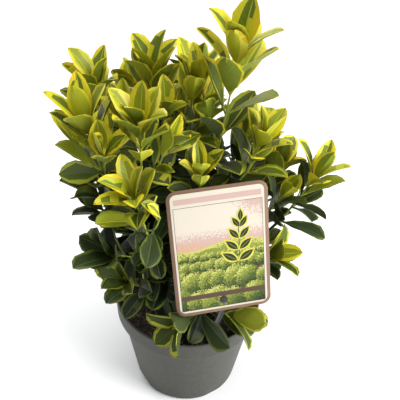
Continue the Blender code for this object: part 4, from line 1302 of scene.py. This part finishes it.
def revolved(profile, sides):
    """A surface of revolution: (radius cos, radius sin, height) for each profile point and angle."""
    angle = np.linspace(0, 2 * np.pi, sides, endpoint=False)
    across = [profile[:, 0, None] * turned for turned in (np.cos(angle), np.sin(angle))]
    return np.stack([*across, np.repeat(profile[:, 1, None], sides, axis=1)], axis=-1)


def closed_rings(rings):
    """Rings of points one below the other, closed with fans to the middles of the first and the last."""
    count, sides = rings.shape[:2]
    poles = [rings[0].mean(axis=0)[None], rings[-1].mean(axis=0)[None]]
    first, last = count * sides, count * sides + 1
    before = (count - 1) * sides
    faces = quads(count, sides, True)[:, ::-1].tolist()
    faces += [[first, k, (k + 1) % sides] for k in range(sides)]
    faces += [[last, before + (k + 1) % sides, before + k] for k in range(sides)]
    return np.concatenate([rings.reshape(-1, 3), *poles]), faces


def cut_holes(pot, places, radius, depth):
    """Round holes cut through a piece from below, at places on the ground."""
    holes = []
    for x, y in places:
        holes.append(sweep(np.array([[x, y, -depth], [x, y, depth]]), (radius, radius), HOLE_SIDES))
    points, faces = joined(holes)
    mesh = bpy.data.meshes.new("hole_cutter")
    mesh.from_pydata(points.tolist(), [], faces)
    cutter = bpy.data.objects.new("hole_cutter", mesh)
    bpy.context.scene.collection.objects.link(cutter)
    change = pot.modifiers.new("drain_holes", "BOOLEAN")
    change.operation = "DIFFERENCE"
    change.object = cutter
    graph = bpy.context.evaluated_depsgraph_get()
    cut = bpy.data.meshes.new_from_object(pot.evaluated_get(graph))
    pot.modifiers.clear()
    pot.data = cut
    cut.set_sharp_from_angle(angle=SHARP_ANGLE)
    bpy.data.objects.remove(cutter)


def pot_section():
    """The pot's section with its roundings, from the middle of its floor inside to that below."""
    collar_foot = POT_HEIGHT - COLLAR_HEIGHT
    at_collar = mixed(FOOT_RADIUS, LIP_RADIUS - COLLAR_STEP, collar_foot / POT_HEIGHT)
    return [
        (POLE_RADIUS, BASE_THICKNESS, 0),
        (FOOT_RADIUS - WALL - FOOT_ROUND, BASE_THICKNESS, FLOOR_ROUNDING),
        (at_collar - WALL, collar_foot, WALL_ROUNDING),
        (LIP_RADIUS - 4 * COLLAR_TAPER, POT_HEIGHT - LIP_SLOPE, LIP_SLOPE),
        (LIP_RADIUS - 2 * COLLAR_TAPER, POT_HEIGHT, EDGE_ROUNDING),
        (LIP_RADIUS, POT_HEIGHT - 2 * COLLAR_TAPER, EDGE_ROUNDING),
        (LIP_RADIUS - COLLAR_TAPER, collar_foot + COLLAR_EDGE, COLLAR_TAPER),
        (at_collar + WALL_SWELL, collar_foot - COLLAR_TAPER, COLLAR_TAPER),
        (FOOT_RADIUS + WALL_SWELL, FOOT_BEVEL, FOOT_ROUNDING),
        (FOOT_RADIUS - FOOT_INSET, 0, EDGE_ROUNDING),
        (POLE_RADIUS, 0, 0),
    ]


def make_pot(finish):
    """The pot: a tapered wall and collar, turned, with flats cut round the foot and drain holes."""
    points = revolved(spread_out(rounded(pot_section()), PROFILE_STEP), POT_SIDES)
    radius = np.hypot(points[..., 0], points[..., 1])
    angle = np.arctan2(points[..., 1], points[..., 0])
    wall = radius > FOOT_RADIUS - WALL - FOOT_ROUND + FLAT_MARGIN
    for number in range(FOOT_FLATS):
        bearing = math.radians(FOOT_FLAT_BEARING + 360 / FOOT_FLATS * number)
        ahead = radius * np.cos(angle - bearing)
        flat = FOOT_RADIUS - FOOT_FLAT_DEPTH + points[..., 2] * math.tan(math.radians(FOOT_FLAT_LEAN))
        outside = (ahead > flat) & (points[..., 2] < FLATS_BELOW) & wall
        shrink = np.where(outside, flat / np.maximum(ahead, 1e-6), 1.0)
        points[..., :2] *= shrink[..., None]
    pot = put("nursery_pot", "pot_plastic", *closed_rings(points), finishes=[finish])
    ways = [bearing_way(360 / DRAIN_HOLES * (number + 0.5)) * DRAIN_CIRCLE for number in range(DRAIN_HOLES)]
    cut_holes(pot, [(way.x, way.y) for way in ways], DRAIN_RADIUS, 2 * BASE_THICKNESS)
    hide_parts("pot")


def soil_height(x, y):
    """The soil's height: a low mound with noise in it."""
    flat = np.stack([x, y, np.zeros_like(x)], axis=-1)
    bumps = sum(height * wobble(flat, scale, seed) for height, scale, seed in SOIL_BUMPS)
    inner = soil_profile()[3][0]
    return SOIL_TOP + SOIL_MOUND * (1 - (x * x + y * y) / inner**2) + bumps - SOIL_SINK


def make_soil(finish, crumb_finishes):
    """The soil's surface as a disc of rings with a skirt down to the pot's floor, and crumbs on it."""
    profile = soil_profile()
    rim, (foot, bottom) = profile[3][0] + SOIL_OVERLAP, profile[4]
    share = np.linspace(POLE_RADIUS / rim, 1, SOIL_RINGS)[:, None]
    angle = np.linspace(0, 2 * np.pi, SOIL_SIDES, endpoint=False)[None]
    x, y = rim * share * np.cos(angle), rim * share * np.sin(angle)
    top = np.stack([x, y, soil_height(x, y)], axis=-1)
    skirt = np.stack([foot * np.cos(angle), foot * np.sin(angle), 0 * angle + bottom], axis=-1)
    rings = np.concatenate([top, skirt, skirt * [SKIRT_CLOSING, SKIRT_CLOSING, 1]])
    soil = put("soil", "peat", *closed_rings(rings), finishes=[finish])
    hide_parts("root_ball")
    rng = np.random.default_rng(CRUMB_SEED)
    crumbs, slots = [], []
    for slot, kind in enumerate(CRUMBS.values()):
        crumbs += [crumb(rng, rim, kind) for _ in range(kind.count)]
        slots += [slot] * (len(CRUMB_FACES) * kind.count)
    put("soil_crumbs", "peat", *joined(crumbs), slots, crumb_finishes, smooth=False)


def crumb(rng, rim, kind):
    """A lump on the soil: an octahedron, flattened and turned by chance, with each corner moved."""
    size = kind.length * rng.uniform(*CRUMB_SIZES) / 2
    corners = np.array([[1, 0, 0], [0, 1, 0], [-1, 0, 0], [0, -1, 0], [0, 0, 1], [0, 0, -1]], dtype=float)
    corners *= rng.uniform(*CRUMB_DENTS, (6, 3)) * [size, size * kind.breadth, size * kind.height]
    turn, tip = rng.uniform(0, 2 * np.pi), rng.normal(0, CRUMB_TIP)
    about_z = np.array([[np.cos(turn), -np.sin(turn), 0], [np.sin(turn), np.cos(turn), 0], [0, 0, 1]])
    about_y = np.array([[np.cos(tip), 0, np.sin(tip)], [0, 1, 0], [-np.sin(tip), 0, np.cos(tip)]])
    radius = (rim - kind.length / 2 - CRUMB_MARGIN) * np.sqrt(rng.random())
    bearing = rng.uniform(0, 2 * np.pi)
    x, y = radius * np.cos(bearing), radius * np.sin(bearing)
    place = np.array([x, y, float(soil_height(np.array(x), np.array(y))) + CRUMB_LIFT])
    return corners @ about_y.T @ about_z.T + place, CRUMB_FACES


# The label card and its stake


def card_place(across, up, ahead):
    """Points on the card: across and up from its centre in metres, and ahead of its middle plane."""
    matrix = np.array(card_matrix())
    flat = np.stack(np.broadcast_arrays(across, -np.asarray(ahead, dtype=float), up), axis=-1)
    return flat @ matrix[:3, :3].T + matrix[:3, 3]


def round_outline(width, height, corner):
    """A rectangle with round corners, anticlockwise, as across and up."""
    angle = np.linspace(0, np.pi / 2, CORNER_STEPS)
    quarters = []
    for quarter, (right, above) in enumerate(((1, 1), (-1, 1), (-1, -1), (1, -1))):
        across = right * (width / 2 - corner) + corner * np.cos(angle + quarter * np.pi / 2)
        up = above * (height / 2 - corner) + corner * np.sin(angle + quarter * np.pi / 2)
        quarters.append(np.stack([across, up], axis=1))
    return np.concatenate(quarters)


def lofted(rings):
    """Rings of as many points each, joined one to the next and closed at both ends."""
    sides = len(rings[0])
    return np.concatenate(rings), quads(len(rings), sides, True).tolist() + end_caps(len(rings), sides)


def make_card(finishes):
    """The card: a slab with a softened edge, with its print on the front and a plain panel behind."""
    outline = round_outline(CARD_WIDTH, CARD_HEIGHT, CARD_CORNER)
    narrow, low = CARD_WIDTH - 2 * CARD_EDGE_IN, CARD_HEIGHT - 2 * CARD_EDGE_IN
    inset = round_outline(narrow, low, CARD_CORNER - CARD_EDGE_IN)
    half, edge = CARD_THICKNESS / 2, CARD_THICKNESS / 2 - CARD_EDGE_DEPTH
    rings = [(inset, half), (outline, edge), (outline, -edge), (inset, -half)]
    points, faces = lofted([card_place(*ring.T, ahead) for ring, ahead in rings])
    outward = [face[::-1] for face in faces]
    card = put("label_card_plate", "card", points, outward, finishes=[finishes["border"]])
    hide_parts("label_card")
    names = list(finishes)
    layers = print_layers()
    slabs = [print_slab(outline, layer) for outline, layer, _ in layers]
    slots = [names.index(colour) for (_, _, colour), (_, some) in zip(layers, slabs) for _ in some]
    points, faces, colours = picture()
    slabs.append((points, faces))
    put("label_print", "card", *joined(slabs), slots + colours, list(finishes.values()), smooth=False)


def print_slab(outline, layer):
    """One colour of the print, from the card's face to its own layer; below zero it is on the back."""
    half, height = CARD_THICKNESS / 2, PRINT_LAYER * layer
    levels = (half, half + height) if layer > 0 else (-half + height, -half)
    return lofted([card_place(*outline.T, ahead) for ahead in levels])


def bar(across, up, wide, tall):
    """An oblong outline by its middle and size."""
    corners = np.array([(-0.5, -0.5), (0.5, -0.5), (0.5, 0.5), (-0.5, 0.5)])
    return corners * [wide, tall] + [across, up]


def flat_way(bearing):
    """The direction on the card at a bearing in degrees from across."""
    return np.array([math.cos(math.radians(bearing)), math.sin(math.radians(bearing))])


def leaf_shape(root, bearing, length, breadth):
    """A pointed leaf's outline on the card, from its root along a bearing in degrees."""
    share = np.linspace(0, 1, PRINTED_STEPS)
    half = breadth * np.sin(np.pi * share**PRINTED_BELLY)
    along = np.concatenate([share, share[-2:0:-1]]) * length
    aside = np.concatenate([-half, half[-2:0:-1]])
    return root + along[:, None] * flat_way(bearing) + aside[:, None] * flat_way(bearing + 90)


def sprig_leaf(root, bearing, length, layer):
    """A printed leaf in its layers: a gold blade, its green middle and a lighter midrib."""
    parts = []
    for above, (start, reach, breadth, colour) in enumerate(PRINTED_LEAF):
        foot = root + start * length * flat_way(bearing)
        parts.append((leaf_shape(foot, bearing, reach * length, breadth * length), layer + above, colour))
    return parts


def print_layers():
    """The flat parts of the print: panels, bands and frame lines, and a tall leafy sprig over the picture."""
    panel = round_outline(PANEL_WIDTH, PANEL_HEIGHT, PANEL_CORNER)
    layers = [(panel, 1, "cream"), (panel, -1, "cream")]
    layers += [(bar(*size), layer, colour) for *size, layer, colour in PRINT_BARS]
    foot, tip = np.array(PRINTED_FOOT), np.array(PRINTED_TIP)
    for pair in range(PRINTED_PAIRS):
        place, spread, length = (
            first + change * pair for first, change in (PRINTED_PLACES, PRINTED_SPREADS, PRINTED_LENGTHS)
        )
        for side in (-1, 1):
            layer = PRINTED_LAYER + len(PRINTED_LEAF) * (pair % 2)
            layers += sprig_leaf(mixed(foot, tip, place), 90 + side * spread, length, layer)
    return layers + sprig_leaf(tip, *PRINTED_TIP_LEAF)


def picture_cells(rng):
    """The picture as small slanting cells: a grid of points, each moved by chance within its cell."""
    across = np.linspace(-0.5, 0.5, PICTURE_COLUMNS + 1)[None] * PICTURE_WIDTH
    up = np.linspace(PICTURE_FOOT, PICTURE_TOP, PICTURE_ROWS + 1)[:, None]
    across, up = np.broadcast_arrays(across, up)
    cell = PICTURE_WIDTH / PICTURE_COLUMNS
    move = rng.uniform(-PICTURE_MOVE, PICTURE_MOVE, (2, *across.shape)) * cell
    move[0] += PICTURE_LEAN * cell * np.where(np.arange(PICTURE_ROWS + 1) % 2, 1, -1)[:, None]
    move[:, [0, -1]] = 0
    move[:, :, [0, -1]] = 0
    return across + move[0], up + move[1]


def toned(share, ramp, chance):
    """A colour's number for each cell, from a ramp of names, by a share from 0 to 1 and by chance."""
    names = list(PRINT_COLOURS)
    place = np.clip(np.rint(share * (len(ramp) - 1) + chance), 0, len(ramp) - 1).astype(int)
    return np.array([names.index(name) for name in ramp])[place]


def picture_colours(across, up, rng):
    """The colour of each cell: an evening sky, far hills and rows of shrubs that are lit from the left."""
    chance = rng.uniform(-0.5, 0.5, across.shape)
    evening = np.clip(1 - (up - SKY_FOOT) / SKY_REACH, 0, 1) ** SKY_FADE
    cloud = np.clip(across / PICTURE_WIDTH + up / PICTURE_TOP - SKY_CLOUD, 0, SKY_CLOUD)
    colours = toned(np.maximum(evening, cloud), SKY_RAMP, chance)
    for crest, swell, waves, phase, ramp in PICTURE_HILLS:
        top = crest + swell * np.sin(2 * np.pi * waves * across / PICTURE_WIDTH + phase)
        colours = np.where(up < top, toned(np.clip((top - up) / HILL_DEPTH, 0, 1), ramp, chance), colours)
    for foot, radius in PICTURE_SHRUBS:
        for middle in np.arange(-0.5, 0.55, SHRUB_STEP * radius / PICTURE_WIDTH) * PICTURE_WIDTH:
            size = radius * rng.uniform(*SHRUB_SIZES)
            aside, lifted = (radius * rng.uniform(-shift, shift) for shift in SHRUB_SHIFTS)
            right = (across - middle - aside) / size
            above = (up - foot - lifted) / (size * rng.uniform(*SHRUB_HEIGHTS))
            inside = right**2 + above**2 < 1 + 0.5 * chance
            plain, to_right, upwards, by_chance = SHRUB_LIGHT
            lit = np.clip(plain + to_right * right + upwards * above + by_chance * chance, 0, 1)
            colours = np.where(inside, toned(lit, SHRUB_RAMP, chance), colours)
    return colours


def picture():
    """The picture's points on the card, its faces and the colour of each: a thin slab with a plain back."""
    rng = np.random.default_rng(PICTURE_SEED)
    across, up = picture_cells(rng)
    front = card_place(across, up, CARD_THICKNESS / 2 + 2 * PRINT_LAYER).reshape(-1, 3)
    middle = [value[:-1, :-1] / 2 + value[1:, 1:] / 2 for value in (across, up)]
    colours = picture_colours(*middle, rng).ravel().tolist()
    index = np.arange(across.size).reshape(across.shape)
    rim = np.concatenate([index[0, :-1], index[:-1, -1], index[-1, :0:-1], index[:0:-1, 0]])
    behind = card_place(across.ravel()[rim], up.ravel()[rim], CARD_THICKNESS / 2 + PRINT_LAYER)
    back = np.arange(len(rim)) + across.size
    sides = np.stack([np.roll(rim, -1), rim, back, np.roll(back, -1)], axis=1).tolist()
    faces = quads(*across.shape).tolist() + sides + [back[::-1].tolist()]
    return np.concatenate([front, behind]), faces, colours + [colours[0]] * (len(sides) + 1)


def stake_bar(path):
    """The stake's bar: a flat section with a channel along both faces, swept along its path."""
    line = np.concatenate([[tuple(path[0])], spline(path[1:], STAKE_RINGS)])
    tangents = unit(np.gradient(line, axis=0))
    back = unit(np.cross(tangents, np.array(card_matrix().col[0].to_3d())))
    side = np.cross(back, tangents)
    rim, floor, depth = STAKE_CHANNEL
    half = [(-1, -1), (-rim, -1), (-floor, -depth), (floor, -depth), (rim, -1), (1, -1)]
    section = np.array(half + [(-x, -y) for x, y in half]) * [STAKE_WIDTH / 2, STAKE_THICKNESS / 2]
    narrow = np.where(np.arange(len(line)) == 0, STAKE_END_SHARE, 1.0)[:, None, None]
    aside, behind = side[:, None] * section[None, :, :1] * narrow, back[:, None] * section[None, :, 1:]
    return lofted(line[:, None] + aside + behind)


def peg_piece(peg):
    """The round peg: from the stake through the card's hole to a wider head with a bevel."""
    reach = CARD_THICKNESS + 2 * TOUCH + STAKE_THICKNESS / 2
    bevel_from, bevel_to = PEG_BEVEL
    stops = np.array([0, reach, reach, reach + bevel_from * PEG_HEAD_THICKNESS, reach + PEG_HEAD_THICKNESS])
    radii = [PEG_RADIUS, PEG_RADIUS, PEG_HEAD_RADIUS, PEG_HEAD_RADIUS, bevel_to * PEG_HEAD_RADIUS]
    ahead = -np.array(card_matrix().col[1].to_3d())
    centres = np.array(peg) + ahead * (stops + RING_GAP * np.arange(len(stops)))[:, None]
    return sweep(centres, radii, PEG_SIDES)


def make_stake(finishes):
    """The stake as one piece: its bar, and the peg that holds the card."""
    path, peg = stake_path()
    pieces = [stake_bar(path), peg_piece(peg)]
    slots = [slot for slot, (_, faces) in enumerate(pieces) for _ in faces]
    stake = put("label_stake_bar", "stake_plastic", *joined(pieces), slots, finishes)
    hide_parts("label_stake")


# Finishes


def plain_finish(name, colour, roughness, specular=PLAIN_SPECULAR, coat=0.0):
    """A material with its own colour and gloss, with its node tree and its shader."""
    made = bpy.data.materials.new(name)
    made.use_nodes = True
    shader = made.node_tree.nodes["Principled BSDF"]
    shader.inputs["Base Color"].default_value = (*colour, 1)
    shader.inputs["Roughness"].default_value = roughness
    shader.inputs["Specular IOR Level"].default_value = specular
    shader.inputs["Coat Weight"].default_value = coat
    shader.inputs["Coat Roughness"].default_value = COAT_ROUGHNESS
    return made, made.node_tree, shader


def object_noise(tree, scale, detail):
    """Noise on object coordinates, as the socket of its value."""
    place = tree.nodes.new("ShaderNodeTexCoord")
    noise = tree.nodes.new("ShaderNodeTexNoise")
    noise.inputs["Scale"].default_value = scale
    noise.inputs["Detail"].default_value = detail
    tree.links.new(place.outputs["Object"], noise.inputs["Vector"])
    return noise.outputs["Fac"]


def grain(tree, shader, scale, depth, detail=3.0):
    """Bump from noise, as a fine grain in the surface."""
    bump = tree.nodes.new("ShaderNodeBump")
    bump.inputs["Distance"].default_value = depth
    bump.inputs["Strength"].default_value = GRAIN_STRENGTH
    tree.links.new(object_noise(tree, scale, detail), bump.inputs["Height"])
    tree.links.new(bump.outputs["Normal"], shader.inputs["Normal"])
    return bump


def mottled(tree, shader, scale, tones):
    """Base colour that goes from a darker to a lighter tone by noise."""
    ramp = tree.nodes.new("ShaderNodeValToRGB")
    for stop, position, tone in zip(ramp.color_ramp.elements, MOTTLE_RANGE, tones):
        stop.position = position
        stop.color = (*tone, 1)
    tree.links.new(object_noise(tree, scale, MOTTLE_DETAIL), ramp.inputs["Fac"])
    tree.links.new(ramp.outputs["Color"], shader.inputs["Base Color"])


def veins(tree, shader, grain_bump):
    """Side veins as ridges of the bump: they leave the midrib by turns and slant towards the tip."""
    place = tree.nodes.new("ShaderNodeUVMap")
    place.uv_map = "blade"
    parts = tree.nodes.new("ShaderNodeSeparateXYZ")
    tree.links.new(place.outputs["UV"], parts.inputs["Vector"])
    across = reckon(tree, "ABSOLUTE", parts.outputs["Y"])
    slant = reckon(tree, "MULTIPLY", across, VEIN_SLANT)
    row = reckon(tree, "MULTIPLY", parts.outputs["X"], LEAF_VEINS)
    wave = reckon(tree, "FRACT", reckon(tree, "SUBTRACT", row, slant))
    middle = reckon(tree, "ABSOLUTE", reckon(tree, "SUBTRACT", wave, 0.5))
    ridge = reckon(tree, "POWER", middle, VEIN_POWER)
    bump = tree.nodes.new("ShaderNodeBump")
    bump.inputs["Distance"].default_value = VEIN_DEPTH
    bump.invert = True
    tree.links.new(reckon(tree, "MULTIPLY", ridge, VEIN_RELIEF), bump.inputs["Height"])
    tree.links.new(grain_bump.outputs["Normal"], bump.inputs["Normal"])
    tree.links.new(bump.outputs["Normal"], shader.inputs["Normal"])


def reckon(tree, operation, first, second=None):
    """One step of arithmetic on a socket, and on a second socket or number if there is one."""
    node = tree.nodes.new("ShaderNodeMath")
    node.operation = operation
    tree.links.new(first, node.inputs[0])
    if isinstance(second, float):
        node.inputs[1].default_value = second
    elif second is not None:
        tree.links.new(second, node.inputs[1])
    return node.outputs[0]


def leaf_finishes():
    """A finish for each colour of the leaves, satin above and dull beneath, with veins."""
    finishes = []
    for name, (colour, roughness) in LEAF_COLOURS.items():
        coat = 0.0 if name.startswith("under") else LEAF_COAT
        made, tree, shader = plain_finish(f"leaf_{name}", colour, roughness, LEAF_SPECULAR, coat)
        veins(tree, shader, grain(tree, shader, scale=260.0, depth=0.0003))
        finishes.append(made)
    return finishes


def pot_finish():
    """Satin grey plastic, faintly mottled."""
    made, tree, shader = plain_finish("grey_pot_plastic", POT_COLOUR, roughness=0.55, specular=POT_SPECULAR)
    mottled(tree, shader, scale=150.0, tones=POT_TONES)
    grain(tree, shader, scale=900.0, depth=0.0002)
    return made


def soil_finish():
    """Dull dark peat, mottled and rough."""
    made, tree, shader = plain_finish("peat", SOIL_COLOUR, roughness=0.95)
    mottled(tree, shader, scale=220.0, tones=SOIL_TONES)
    grain(tree, shader, scale=700.0, depth=0.0012, detail=6.0)
    return made


def crumb_finishes():
    """A dull finish for each kind of crumb."""
    finishes = []
    for name, kind in CRUMBS.items():
        made, tree, shader = plain_finish(f"crumb_{name}", kind.colour, roughness=0.9)
        grain(tree, shader, scale=900.0, depth=0.0006)
        finishes.append(made)
    return finishes


def stem_finishes():
    """Mottled bark, and the smoother green of the young shoots."""
    bark, tree, shader = plain_finish("grey_green_bark", BARK_COLOUR, roughness=0.75)
    mottled(tree, shader, scale=160.0, tones=BARK_TONES)
    grain(tree, shader, scale=900.0, depth=0.0006)
    shoot, tree, shader = plain_finish("green_shoot", SHOOT_COLOUR, roughness=0.45, coat=0.1)
    grain(tree, shader, scale=500.0, depth=0.0003)
    return {"bark": bark, "shoot": shoot}


def print_finishes():
    """A satin finish for each colour of the print."""
    finishes = {}
    for name, colour in PRINT_COLOURS.items():
        made, tree, shader = plain_finish(f"print_{name}", colour, roughness=0.45, specular=PRINT_SPECULAR)
        grain(tree, shader, scale=1500.0, depth=0.00005)
        finishes[name] = made
    return finishes


def stake_finishes():
    """The stake's blue-grey plastic and the darker plastic of its peg."""
    stake, tree, shader = plain_finish("blue_grey_stake_plastic", STAKE_COLOUR, roughness=0.45)
    grain(tree, shader, scale=600.0, depth=0.0001)
    peg, tree, shader = plain_finish("dark_peg_plastic", PEG_COLOUR, roughness=0.50)
    grain(tree, shader, scale=600.0, depth=0.0001)
    return [stake, peg]


# The stage


def make_camera():
    """The camera where the pot's lip, collar and foot and the card's corners put it."""
    yaw, pitch, roll = (math.radians(angle) for angle in (CAMERA_YAW, CAMERA_PITCH, CAMERA_ROLL))
    ahead = Vector((math.sin(yaw) * math.cos(pitch), math.cos(yaw) * math.cos(pitch), -math.sin(pitch)))
    level = ahead.cross(Vector((0, 0, 1))).normalized()
    above = level.cross(ahead)
    right = level * math.cos(roll) - above * math.sin(roll)
    up = level * math.sin(roll) + above * math.cos(roll)
    data = bpy.data.cameras.new("camera")
    data.lens = CAMERA_LENS
    data.clip_start = CAMERA_CLIP
    camera = bpy.data.objects.new("camera", data)
    camera.matrix_world = Matrix.Translation(CAMERA_PLACE) @ Matrix((right, up, -ahead)).transposed().to_4x4()
    bpy.context.scene.collection.objects.link(camera)
    bpy.context.scene.camera = camera


def make_floor():
    """A wide flat floor in a pale matt tone."""
    made, tree, shader = plain_finish("pale_floor", FLOOR_COLOUR, roughness=0.9)
    grain(tree, shader, scale=40.0, depth=0.0001)
    side = np.array([-FLOOR_SIZE, FLOOR_SIZE])
    points = np.stack(np.broadcast_arrays(side[None], side[:, None], 0.0), axis=-1)
    put("floor", None, points, quads(2, 2).tolist(), finishes=[made])


def make_light():
    """Soft light from above and the right, weaker from the left and behind, and a pale sky."""
    for name, (place, aim, size, power) in LAMPS.items():
        data = bpy.data.lights.new(name, "AREA")
        data.size = size
        data.energy = power
        lamp = bpy.data.objects.new(name, data)
        lamp.location = place
        lamp.rotation_euler = (Vector(aim) - Vector(place)).to_track_quat("-Z", "Y").to_euler()
        bpy.context.scene.collection.objects.link(lamp)
    world = bpy.data.worlds.new("sky")
    world.use_nodes = True
    world.node_tree.nodes["Background"].inputs["Color"].default_value = (*SKY_COLOUR, 1)
    world.node_tree.nodes["Background"].inputs["Strength"].default_value = SKY_STRENGTH
    bpy.context.scene.world = world
    bpy.context.scene.view_settings.view_transform = "Standard"


def main():
    """The stage, the plant by its rule, then every piece in its finish."""
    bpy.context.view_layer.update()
    make_camera()
    make_floor()
    make_light()
    space, dice = Space(), random.Random(SEED)
    paths, boughs, twigs, leaves = grow_plant(space, dice)
    leaves += grow_tip_leaves(space, dice, twigs)
    inner = grow_inner_leaves(space, dice, boughs)
    greens = leaf_finishes()
    make_stems(paths, boughs, twigs, stem_finishes())
    outer_leaves = make_leaves("outer_leaves", leaves, greens, OUTER_LEAF_SEED)
    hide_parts(*[f"leaves_{limb.name}" for limb in LIMBS])
    make_leaves("inner_leaves", inner, greens, INNER_LEAF_SEED)
    make_pot(pot_finish())
    make_soil(soil_finish(), crumb_finishes())
    make_card(print_finishes())
    make_stake(stake_finishes())


main()
